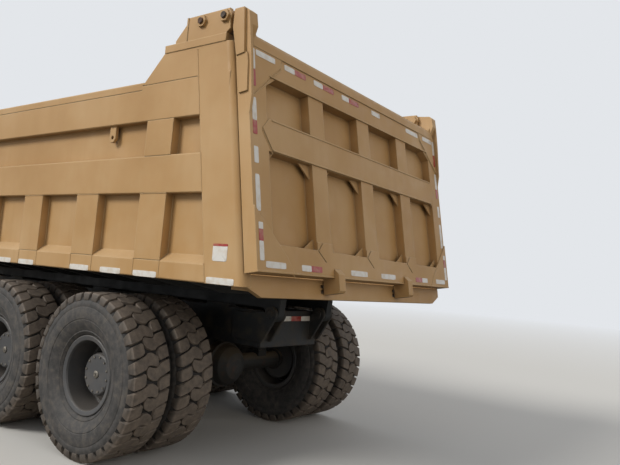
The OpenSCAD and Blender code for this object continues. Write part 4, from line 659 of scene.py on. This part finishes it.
class TRUCK_OT_cab_trim(bpy.types.Operator):
    """Adds the mirrors' glass, the rubber round the cab's windows and the wipers"""
    bl_idname = "truck.cab_trim"
    bl_label = "Cab trim"

    def execute(self, context):
        low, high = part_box("mirrors")
        glass = Shell()
        for side in (1, -1):
            middle = (low[0], side * (high[1] - MIRROR_IN), high[2] - MIRROR_DOWN)
            glass.add(tiles([(middle, (0, 0, MIRROR_TALL), (0, MIRROR_WIDE, 0))], MIRROR_THICK))
        glass.make("mirror_glass", "chassis", "window", silvered_glass())
        lean = math.atan(SCREEN_LEAN)
        sill = np.array([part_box("cab_glass")[1][0] + 0.031, 0, SCREEN_FOOT])
        rise = np.array([-math.sin(lean), 0, math.cos(lean)])
        ahead = np.array([math.cos(lean), 0, math.sin(lean)])
        rubber = Shell()

        def screen(y, height, out=0.0):
            """A point of the leaning windscreen, out from it by the given distance."""
            return sill + (0, y, 0) + height * rise + out * ahead

        for place, (sides, edges), round_off, radius in (
                (lambda x, z: (x, CAB_FLANK, z), FLANK_WINDOW, 0.03, 0.01),
                (lambda y, z: (CAB_REAR, y, z), REAR_WINDOW, 0.03, 0.01),
                (screen, SCREEN_WINDOW, 0.04, 0.012)):
            corners = [place(sides[k], edges[n]) for k, n in ((0, 0), (1, 0), (1, 1), (0, 1))]
            rubber.add(gasket(corners, round_off, radius), closed_rows=True)
        # a blade lies along the screen's foot, and its arm bends from the spindle to its middle
        for foot, tip in WIPERS:
            middle = (foot + tip) / 2
            rubber.add(tube([screen(foot - 0.02, 0.12, -0.008), screen(middle, 0.13, -0.008),
                             screen(tip, 0.14, -0.008)], 0.009))
            rubber.add(tube([screen(foot, -0.03, 0.012), screen(foot - 0.1, 0.05, 0.018),
                             screen(middle, 0.13, 0.002)], 0.007))
        rubber.make("cab_gaskets_and_wipers", "chassis", "trim",
                    bpy.data.materials["moulded_polypropylene"])
        return {"FINISHED"}


# Materials


def add(material, kind, inputs=None, ramp=None, **settings):
    """Adds a node. A socket among its inputs is linked; a node stands for its first output, or
    for its colour if it is a Mix, which here always mixes colours. Anything else is a value."""
    node = material.node_tree.nodes.new("ShaderNode" + kind)
    if kind == "Mix":
        node.data_type = "RGBA"
    for key, value in settings.items():
        setattr(node, key, value)
    for key, value in (inputs or {}).items():
        if isinstance(value, bpy.types.Node):
            value = value.outputs[2 if value.bl_idname == "ShaderNodeMix" else 0]
        if isinstance(value, bpy.types.NodeSocket):
            material.node_tree.links.new(value, node.inputs[key])
        else:
            node.inputs[key].default_value = value
    for number, (place, value) in enumerate(ramp or []):
        stops = node.color_ramp.elements
        stop = stops[number] if number < 2 else stops.new(place)
        stop.position, stop.color = place, value
    return node


def blank(name):
    """A new material, emptied, and its object coordinates."""
    material = bpy.data.materials.new(name)
    material.use_nodes = True
    material.node_tree.nodes.clear()
    return material, add(material, "TexCoord").outputs["Object"]


def finish(material, shader):
    """Puts the shader on the material's output and gives the material back."""
    add(material, "OutputMaterial", {"Surface": shader})
    return material


def by_slope(m, none, full, most):
    """The share that a face gets by how far it looks up, from -1 to 1: nothing at none, most at
    full. It gives dust on upward faces and painted shade on downward ones."""
    up = add(m, "SeparateXYZ", {0: add(m, "NewGeometry").outputs["Normal"]}).outputs["Z"]
    return add(m, "MapRange", {"Value": up, "From Min": none, "From Max": full, "To Max": most})


def dusty_enamel(name, paint, pale, deep, rough, dust, worn_edge_and_highlight, shade_from=None):
    """Alkyd enamel sprayed on welded steel plate, left dusty: a low sheen broken by dust, in
    metre-wide bleached patches, hand-wide blotches and faint vertical runs, with paler worn edges
    that also paint a highlight, and painted shade in corners and under downward faces. dust holds
    the most dust that lies on ledges and clings to walls, and the most painted shade in corners.
    Ahead of the given place, black paints the shade under the bed."""
    c = colours()
    # the third share is the most painted shade in corners and under downward faces
    ledge, wall, shade_share = dust
    m, place = blank(name)
    # patches about 0.8 m wide, blotches of 120 mm, grit of 5 mm and buckles of 0.4 m
    patch, blotch, grit, wave = (
        add(m, "TexNoise", {"Vector": place, "Scale": scale, "Detail": detail, "Roughness": rest})
        for scale, detail, rest in ((1.25, 3, 0.5), (8, 6, 0.6), (190, 2, 0.6), (2.4, 1, 0.5)))
    # faint runs of rain, 90 mm wide and about 2 m long
    tall = add(m, "Mapping", {"Vector": place, "Scale": (11, 11, 0.5)})
    runs = add(m, "TexNoise", {"Vector": tall, "Scale": 1, "Detail": 1.5})
    tone = add(m, "ValToRGB", {"Fac": patch}, ramp=[(0.3, deep), (0.7, pale), (0.48, paint)])
    stain = add(m, "MapRange", {"Value": runs, "From Min": 0.5, "From Max": 0.8, "To Max": 0.3})
    ran = add(m, "Mix", {0: stain, 6: tone, 7: deep})
    lies = by_slope(m, 0.15, 0.95, ledge)
    thin = add(m, "MapRange", {"Value": blotch, "From Min": 0.45, "From Max": 0.75,
                               "To Max": wall})
    film = add(m, "Math", {0: lies, 1: thin}, operation="MAXIMUM")
    dusted = add(m, "Mix", {0: film, 6: ran, 7: c.dust})
    # worn edges and painted highlight: paler where the rounded normal leaves the flat one
    round_edge = add(m, "Bevel", {"Radius": 0.011}, samples=4)
    flat = add(m, "NewGeometry").outputs["Normal"]
    turn = add(m, "VectorMath", {0: round_edge, 1: flat}, operation="DOT_PRODUCT")
    edge = add(m, "MapRange", {"Value": turn.outputs["Value"], "From Min": 0.99,
                               "From Max": 0.86, "To Max": 0.5})
    worn = add(m, "Mix", {0: edge, 6: dusted, 7: worn_edge_and_highlight})
    # painted shade: corners, found by ambient occlusion, and downward faces darken to a brown
    # painted shade
    shade = add(m, "AmbientOcclusion", {"Distance": 0.18}, samples=4)
    dark = add(m, "MapRange", {"Value": shade.outputs["AO"], "From Min": 0.72, "From Max": 0.2,
                               "To Max": shade_share})
    soil = add(m, "Math", {0: dark, 1: by_slope(m, -0.5, -0.95, shade_share)}, operation="MAXIMUM")
    last = add(m, "Mix", {0: soil, 6: worn, 7: c.grime})
    if shade_from is not None:
        # painted shade: ahead of the given place the enamel turns black, standing for the shade
        # under the bed
        ahead = add(m, "SeparateXYZ", {0: place}).outputs["X"]
        under_shade = add(m, "MapRange", {"Value": ahead, "From Min": shade_from, "From Max": shade_from + 0.05})
        last = add(m, "Mix", {0: under_shade, 6: last, 7: c.chassis})
    sheen = add(m, "MapRange", {"Value": blotch, "From Min": 0.3, "From Max": 0.7,
                                "To Min": rough - 0.1, "To Max": rough + 0.16})
    # the sheets are drawn in by a millimetre or two between their welds
    buckle = add(m, "Bump", {"Strength": 0.5, "Distance": 0.012, "Height": wave,
                             "Normal": round_edge})
    grain = add(m, "Bump", {"Strength": 0.25, "Distance": 0.0012, "Height": grit,
                            "Normal": buckle})
    return finish(m, add(m, "BsdfPrincipled", {
        "Base Color": last, "Roughness": sheen, "IOR": 1.5, "Normal": grain}))


def tyre_rubber():
    """Vulcanised rubber: black and slightly polished on the moulded sidewall, scrubbed brown with
    dust on the tops of the blocks, with painted shade, near black, in the grooves."""
    c = colours()
    m, place = blank("vulcanised_rubber")
    wear = add(m, "Attribute", attribute_name="wear")
    # clods of 60 mm and grains of 4 mm
    clod = add(m, "TexNoise", {"Vector": place, "Scale": 16, "Detail": 6, "Roughness": 0.65})
    grain = add(m, "TexNoise", {"Vector": place, "Scale": 250, "Detail": 3})
    side = add(m, "ValToRGB", {"Fac": clod},
               ramp=[(0.35, c.rubber), (0.72, linear("#5E5952")), (0.5, linear("#454342"))])
    top = add(m, "ValToRGB", {"Fac": clod},
              ramp=[(0.3, linear("#544D47")), (0.7, linear("#7F7367")), (0.5, c.tread)])
    # painted shade: the carcass between the blocks goes near black, and the less scrubbed
    # shoulders' blocks mix about half of it in
    groove_shade = add(m, "MapRange", {"Value": wear.outputs["Fac"], "From Min": 0.2, "From Max": 0.35})
    worn = add(m, "MapRange", {"Value": wear.outputs["Fac"], "From Min": 0.6, "From Max": 0.95})
    low = add(m, "Mix", {0: groove_shade, 6: side, 7: linear("#1B1917")})
    paint = add(m, "Mix", {0: worn, 6: low, 7: top})
    dull = add(m, "MapRange", {"Value": clod, "To Min": 0.58, "To Max": 0.86})
    rounded = add(m, "Bevel", {"Radius": 0.003}, samples=4)
    bump = add(m, "Bump", {"Strength": 0.35, "Distance": 0.0015, "Height": grain,
                           "Normal": rounded})
    return finish(m, add(m, "BsdfPrincipled", {
        "Base Color": paint, "Roughness": dull, "IOR": 1.52, "Normal": bump}))


def cast_iron(name, base, rust_share):
    """Sand-cast iron and forged steel: a pebbled dark skin with rust and oily dust."""
    c = colours()
    m, place = blank(name)
    spots = add(m, "TexNoise", {"Vector": place, "Scale": 14, "Detail": 6, "Roughness": 0.65})
    sand = add(m, "TexNoise", {"Vector": place, "Scale": 320, "Detail": 2})
    rust = add(m, "MapRange", {"Value": spots, "From Min": 0.5, "From Max": 0.72,
                               "To Max": rust_share})
    skin = add(m, "Mix", {0: rust, 6: base, 7: linear("#6A4630")})
    dusted = add(m, "Mix", {0: by_slope(m, 0.2, 1, 0.3), 6: skin, 7: c.dust})
    dull = add(m, "MapRange", {"Value": spots, "To Min": 0.5, "To Max": 0.85})
    bump = add(m, "Bump", {"Strength": 0.4, "Distance": 0.001, "Height": sand})
    return finish(m, add(m, "BsdfPrincipled", {
        "Base Color": dusted, "Metallic": 0.35, "Roughness": dull, "Normal": bump}))


def zinc_steel():
    """Zinc-plated steel of bolts and nuts, passivated and dulled by dust."""
    m, place = blank("zinc_plated_steel")
    stain = add(m, "TexNoise", {"Vector": place, "Scale": 60, "Detail": 4})
    tone = add(m, "ValToRGB", {"Fac": stain},
               ramp=[(0.35, linear("#6B6760")), (0.7, linear("#9A948A"))])
    dull = add(m, "MapRange", {"Value": stain, "To Min": 0.4, "To Max": 0.75})
    return finish(m, add(m, "BsdfPrincipled", {
        "Base Color": tone, "Metallic": 0.6, "Roughness": dull}))


def ground_steel(name, base, rough, metal, ring):
    """Turned and ground steel: fine rings round the tube and a thin film of oil and dust."""
    m, place = blank(name)
    flat = add(m, "Mapping", {"Vector": place, "Scale": (4, 4, ring)})
    lines = add(m, "TexNoise", {"Vector": flat, "Scale": 1, "Detail": 3})
    film = add(m, "TexNoise", {"Vector": place, "Scale": 7, "Detail": 5})
    tone = add(m, "Mix", {0: film, 6: base, 7: linear("#7C7468")})
    dull = add(m, "MapRange", {"Value": film, "From Min": 0.35, "From Max": 0.75,
                               "To Min": rough, "To Max": rough + 0.3})
    bump = add(m, "Bump", {"Strength": 0.15, "Distance": 0.0003, "Height": lines})
    return finish(m, add(m, "BsdfPrincipled", {
        "Base Color": tone, "Metallic": metal, "Roughness": dull, "Normal": bump}))


def moulded_plastic():
    """Injection-moulded black polypropylene with a fine leather grain and dust."""
    c = colours()
    m, place = blank("moulded_polypropylene")
    # the grain of about 1.5 mm is drawn at 4 mm so that it shows
    grain = add(m, "TexVoronoi", {"Vector": place, "Scale": 250})
    spread = add(m, "TexNoise", {"Vector": place, "Scale": 9, "Detail": 5})
    thin = add(m, "MapRange", {"Value": spread, "From Min": 0.45, "From Max": 0.8,
                               "To Max": 0.25})
    dust = add(m, "Math", {0: by_slope(m, 0.1, 1, 0.45), 1: thin}, operation="MAXIMUM")
    tone = add(m, "Mix", {0: dust, 6: c.trim, 7: c.dust})
    bump = add(m, "Bump", {"Strength": 0.2, "Distance": 0.0004, "Height": grain})
    return finish(m, add(m, "BsdfPrincipled", {
        "Base Color": tone, "Roughness": 0.6, "IOR": 1.49, "Normal": bump}))


def silvered_glass():
    """Mirror glass: silvered behind, bright, with a thin spotty film of dust."""
    m, place = blank("silvered_mirror_glass")
    film = add(m, "TexNoise", {"Vector": place, "Scale": 28, "Detail": 5})
    tone = add(m, "ValToRGB", {"Fac": film},
               ramp=[(0.45, linear("#DDE2E4")), (0.8, linear("#B5AB98"))])
    dull = add(m, "MapRange", {"Value": film, "From Min": 0.45, "From Max": 0.8,
                               "To Min": 0.04, "To Max": 0.45})
    return finish(m, add(m, "BsdfPrincipled", {
        "Base Color": tone, "Metallic": 1.0, "Roughness": dull}))


def window_glass():
    """Float glass, clear and faintly green, with a thin film of dust in patches."""
    c = colours()
    m, place = blank("float_glass")
    film = add(m, "TexNoise", {"Vector": place, "Scale": 3, "Detail": 6, "Roughness": 0.6})
    share = add(m, "MapRange", {"Value": film, "From Min": 0.4, "From Max": 0.8,
                                "To Min": 0.03, "To Max": 0.2})
    clear = add(m, "BsdfPrincipled", {
        "Base Color": linear("#C9D4D0"), "Roughness": 0.03, "IOR": 1.5,
        "Transmission Weight": 1.0})
    dusty = add(m, "BsdfPrincipled", {"Base Color": c.dust, "Roughness": 0.8})
    return finish(m, add(m, "MixShader", {0: share, 1: clear, 2: dusty}))


def lamp_lens():
    """Clear polycarbonate over a metallised bowl, ribbed to spread the beam."""
    m, place = blank("ribbed_polycarbonate")
    ribs = add(m, "TexWave", {"Vector": place, "Scale": 26, "Distortion": 0},
               wave_type="BANDS", bands_direction="Y")
    bump = add(m, "Bump", {"Strength": 0.6, "Distance": 0.003, "Height": ribs})
    film = add(m, "TexNoise", {"Vector": place, "Scale": 20, "Detail": 4})
    tone = add(m, "ValToRGB", {"Fac": film},
               ramp=[(0.35, linear("#E8E8E2")), (0.75, linear("#C9C2B2"))])
    return finish(m, add(m, "BsdfPrincipled", {
        "Base Color": tone, "Metallic": 0.3, "Roughness": 0.16, "IOR": 1.58,
        "Coat Weight": 0.8, "Coat Roughness": 0.05, "Normal": bump}))


def sheeting(name, base):
    """Prismatic retroreflective sheeting: a bright face of small diamonds under a clear film,
    faintly soiled."""
    c = colours()
    m, place = blank(name)
    # the prisms of 3 mm are drawn at 8 mm so that they show
    prism = add(m, "TexVoronoi", {"Vector": place, "Scale": 120}, distance="CHEBYCHEV")
    soil = add(m, "TexNoise", {"Vector": place, "Scale": 18, "Detail": 5})
    share = add(m, "MapRange", {"Value": soil, "From Min": 0.45, "From Max": 0.8, "To Max": 0.55})
    tone = add(m, "Mix", {0: share, 6: base, 7: c.dust})
    bump = add(m, "Bump", {"Strength": 0.2, "Distance": 0.0006, "Height": prism})
    return finish(m, add(m, "BsdfPrincipled", {
        "Base Color": tone, "Roughness": 0.35, "IOR": 1.5, "Coat Weight": 0.4, "Normal": bump}))


def scoured_plate():
    """Wear plate of the bed's floor: steel scoured by rock, with rust, long scratches and
    rubble dust."""
    c = colours()
    m, place = blank("scoured_wear_plate")
    # scratches of 6 mm that run the bed's length, in 1 m strokes
    drawn = add(m, "Mapping", {"Vector": place, "Scale": (1.2, 150, 40)})
    scratch = add(m, "TexNoise", {"Vector": drawn, "Scale": 1, "Detail": 4})
    field = add(m, "TexNoise", {"Vector": place, "Scale": 2.5, "Detail": 7, "Roughness": 0.65})
    tone = add(m, "ValToRGB", {"Fac": field},
               ramp=[(0.35, linear("#6E5A45")), (0.68, c.dust), (0.5, linear("#8C7458"))])
    bare = add(m, "MapRange", {"Value": scratch, "From Min": 0.55, "From Max": 0.7,
                               "To Max": 0.6})
    skin = add(m, "Mix", {0: bare, 6: tone, 7: linear("#8D8A84")})
    bump = add(m, "Bump", {"Strength": 0.4, "Distance": 0.002, "Height": scratch})
    return finish(m, add(m, "BsdfPrincipled", {
        "Base Color": skin, "Metallic": 0.2, "Roughness": 0.68, "Normal": bump}))


def seat_cloth():
    """Woven polyester seat cloth: a plain weave with a soft sheen at grazing angles."""
    c = colours()
    m, place = blank("woven_polyester")
    # yarns of 1 mm are drawn at 5 mm so that the weave shows
    warp = add(m, "TexWave", {"Vector": place, "Scale": 32}, bands_direction="X")
    weft = add(m, "TexWave", {"Vector": place, "Scale": 32}, bands_direction="Y")
    weave = add(m, "Math", {0: warp.outputs[1], 1: weft.outputs[1]}, operation="MULTIPLY")
    blotch = add(m, "TexNoise", {"Vector": place, "Scale": 12, "Detail": 4})
    tone = add(m, "ValToRGB", {"Fac": blotch}, ramp=[(0.3, c.cloth), (0.75, linear("#4A4C50"))])
    bump = add(m, "Bump", {"Strength": 0.4, "Distance": 0.0008, "Height": weave})
    return finish(m, add(m, "BsdfPrincipled", {
        "Base Color": tone, "Roughness": 0.9, "Sheen Weight": 0.3, "Normal": bump}))


# Where the black painted shade starts under the bed, from the rear axle
SHADE_START = -1.5


class TRUCK_OT_finishes(bpy.types.Operator):
    """Gives every part of the frame its material"""
    bl_idname = "truck.finishes"
    bl_label = "Finishes"

    def execute(self, context):
        c = colours()
        tans = (c.body, c.body_pale, c.body_deep, 0.5)
        # each enamel's last colour paints its worn edges, partly as a painted highlight
        body = dusty_enamel("golden_tan_enamel", *tans, (0.5, 0.22, 0.5), linear("#DFC697"))
        black = dusty_enamel("black_chassis_enamel", c.chassis, linear("#232425"),
                             linear("#151618"), 0.55, (0.22, 0.08, 0.1), linear("#4A4640"))
        rim = dusty_enamel("grey_rim_enamel", c.rim, linear("#555658"), linear("#454648"), 0.45,
                           (0.08, 0.06, 0.1), linear("#6A6864"))
        by_slot = {
            "body_paint": body, "frame_paint": black, "rim_paint": rim, "tyre": tyre_rubber(),
            "machine_iron": cast_iron("cast_iron", c.iron, 0.3),
            "hoist_tube": ground_steel("ground_steel", linear("#A9ABAD"), 0.3, 0.9, 900),
            "hoist_rod": ground_steel("hard_chrome", linear("#D8D9DB"), 0.12, 1.0, 1500),
            "window": window_glass(), "lamp": lamp_lens(), "trim": moulded_plastic(),
            "seat": seat_cloth(),
        }
        for part in frame["record"]["subparts"]:
            give(part["node"], by_slot[part["material_slot"]])
        give("bed_floor", scoured_plate())
        # the underframe's tan enamel is painted black ahead of the given place, as the shade under
        # the bed
        give("bed_underframe", dusty_enamel("tan_enamel_with_underseal", *tans, (0.3, 0.15, 0.5),
                                            linear("#DFC697"), shade_from=REAR_X + SHADE_START))
        return {"FINISHED"}


def give(node, material):
    """Puts a material in every slot of a frame node."""
    mesh = NODES[node].data
    if not mesh.materials:
        mesh.materials.append(material)
    for number in range(len(mesh.materials)):
        mesh.materials[number] = material


# Stage


def pale_screed():
    """Matt painted screed near the truck, fading into the backdrop's colour far out."""
    c = colours()
    m, place = blank("pale_screed")
    far = add(m, "VectorMath", {0: place}, operation="LENGTH")
    fade = add(m, "MapRange", {"Value": far.outputs["Value"], "From Min": 11, "From Max": 42})
    seen = add(m, "LightPath").outputs["Is Camera Ray"]
    tone = add(m, "Mix", {0: seen, 6: linear("#8C8880"), 7: c.floor})
    matt = add(m, "BsdfPrincipled", {"Base Color": tone, "Roughness": 0.85,
                                     "Specular IOR Level": 0.2})
    glow = add(m, "Emission", {"Color": c.backdrop, "Strength": 1.0})
    hide = add(m, "Math", {0: fade, 1: seen}, operation="MULTIPLY")
    return finish(m, add(m, "MixShader", {0: hide, 1: matt, 2: glow}))


def studio_world(strength):
    """Even grey light, and the pale backdrop for what the camera, metal and glass see."""
    world = bpy.data.worlds.new("studio")
    world.use_nodes = True
    world.node_tree.nodes.clear()
    seen = add(world, "LightPath")
    any_ray = seen.outputs["Is Camera Ray"]
    for ray in ("Is Glossy Ray", "Is Transmission Ray"):
        any_ray = add(world, "Math", {0: any_ray, 1: seen.outputs[ray]}, operation="MAXIMUM")
    light = add(world, "Background", {"Color": linear("#F4F6FA"), "Strength": strength})
    shown = add(world, "Background", {"Color": colours().backdrop, "Strength": 1.0})
    mix = add(world, "MixShader", {0: any_ray, 1: light, 2: shown})
    add(world, "OutputWorld", {"Surface": mix})
    return world


# The camera behind the left rear corner: its place, and its yaw, pitch and roll in radians
CAMERA_PLACE = (REAR_X - 4.828, 5.065, 1.789)
CAMERA_YAW, CAMERA_PITCH, CAMERA_ROLL = -0.933458, 0.071423, 0.084540
# Lamps: setting of the strength, spread in degrees, colour, way that the light goes, and place
LAMPS = {"key_lamp": ("key", 22, (1.0, 0.965, 0.91), (-0.42, -0.78, -0.62), (4, 8, 6)),
         "bounce_lamp": ("bounce", 60, (1.0, 0.85, 0.66), (0.94, -0.2, -0.12), (-9, 2, 2))}


class TRUCK_OT_stage(bpy.types.Operator):
    """Sets the pale floor, the even light, the soft lamps and the camera"""
    bl_idname = "truck.stage"
    bl_label = "Stage"

    def execute(self, context):
        scene, s = context.scene, context.scene.truck_stage
        # floor: a disc of rings round the origin, growing outwards
        ring = np.r_[0, np.geomspace(1, 90, 24)][:, None]
        a = circle(64)
        shell = Shell()
        shell.add(np.stack(np.broadcast_arrays(ring * np.cos(a), ring * np.sin(a), 0 * ring), -1))
        floor = shell.make("studio_floor", None, None, pale_screed())
        if floor.data.polygons[0].normal.z < 0:
            floor.data.flip_normals()
        scene.world = studio_world(s.sky)
        for name, (strength, spread, colour, way, place) in LAMPS.items():
            light = bpy.data.lights.new(name, "SUN")
            light.energy, light.angle = getattr(s, strength), math.radians(spread)
            light.color = colour
            lamp = bpy.data.objects.new(name, light)
            lamp.rotation_mode = "QUATERNION"
            lamp.rotation_quaternion = Vector(way).to_track_quat("-Z", "Y")
            lamp.location = place
            scene.collection.objects.link(lamp)
        look = Vector((math.cos(CAMERA_PITCH) * math.cos(CAMERA_YAW),
                       math.cos(CAMERA_PITCH) * math.sin(CAMERA_YAW), math.sin(CAMERA_PITCH)))
        right = look.cross(Vector((0, 0, 1))).normalized()
        up = right.cross(look)
        cos, sin = math.cos(CAMERA_ROLL), math.sin(CAMERA_ROLL)
        data = bpy.data.cameras.new("camera")
        data.sensor_width, data.lens = 36, s.lens
        data.clip_start, data.clip_end = 0.1, 400
        camera = bpy.data.objects.new("camera", data)
        camera.matrix_world = Matrix.Translation(CAMERA_PLACE) @ Matrix(
            (cos * right + sin * up, cos * up - sin * right, -look)).transposed().to_4x4()
        scene.collection.objects.link(camera)
        scene.camera = camera
        scene.view_settings.view_transform = "Standard"
        return {"FINISHED"}


class TRUCK_PT_panel(bpy.types.Panel):
    """Lists the pieces, with their sizes and colours"""
    bl_label = "Dump Truck"
    bl_space_type = "VIEW_3D"
    bl_region_type = "UI"
    bl_category = "Dump Truck"

    def draw(self, context):
        for group in (context.scene.truck_colours, context.scene.truck_sizes,
                      context.scene.truck_stage):
            for name in group.__annotations__:
                self.layout.prop(group, name)
        for operator in OPERATORS:
            self.layout.operator(operator.bl_idname)


OPERATORS = [TRUCK_OT_finishes, TRUCK_OT_tyres, TRUCK_OT_hub_bolts, TRUCK_OT_pin_ends,
             TRUCK_OT_tape, TRUCK_OT_welds, TRUCK_OT_seats, TRUCK_OT_cab_trim, TRUCK_OT_stage]
GROUPS = {"truck_colours": TruckColours, "truck_sizes": TruckSizes, "truck_stage": TruckStage}


def register():
    for kind in (*GROUPS.values(), *OPERATORS, TRUCK_PT_panel):
        bpy.utils.register_class(kind)
    for name, group in GROUPS.items():
        setattr(bpy.types.Scene, name, bpy.props.PointerProperty(type=group))


def unregister():
    for name in GROUPS:
        delattr(bpy.types.Scene, name)
    for kind in reversed((*GROUPS.values(), *OPERATORS, TRUCK_PT_panel)):
        bpy.utils.unregister_class(kind)


def main():
    register()
    for operator in OPERATORS:
        group, name = operator.bl_idname.split(".")
        getattr(getattr(bpy.ops, group), name)()


if __name__ == "__main__":
    main()
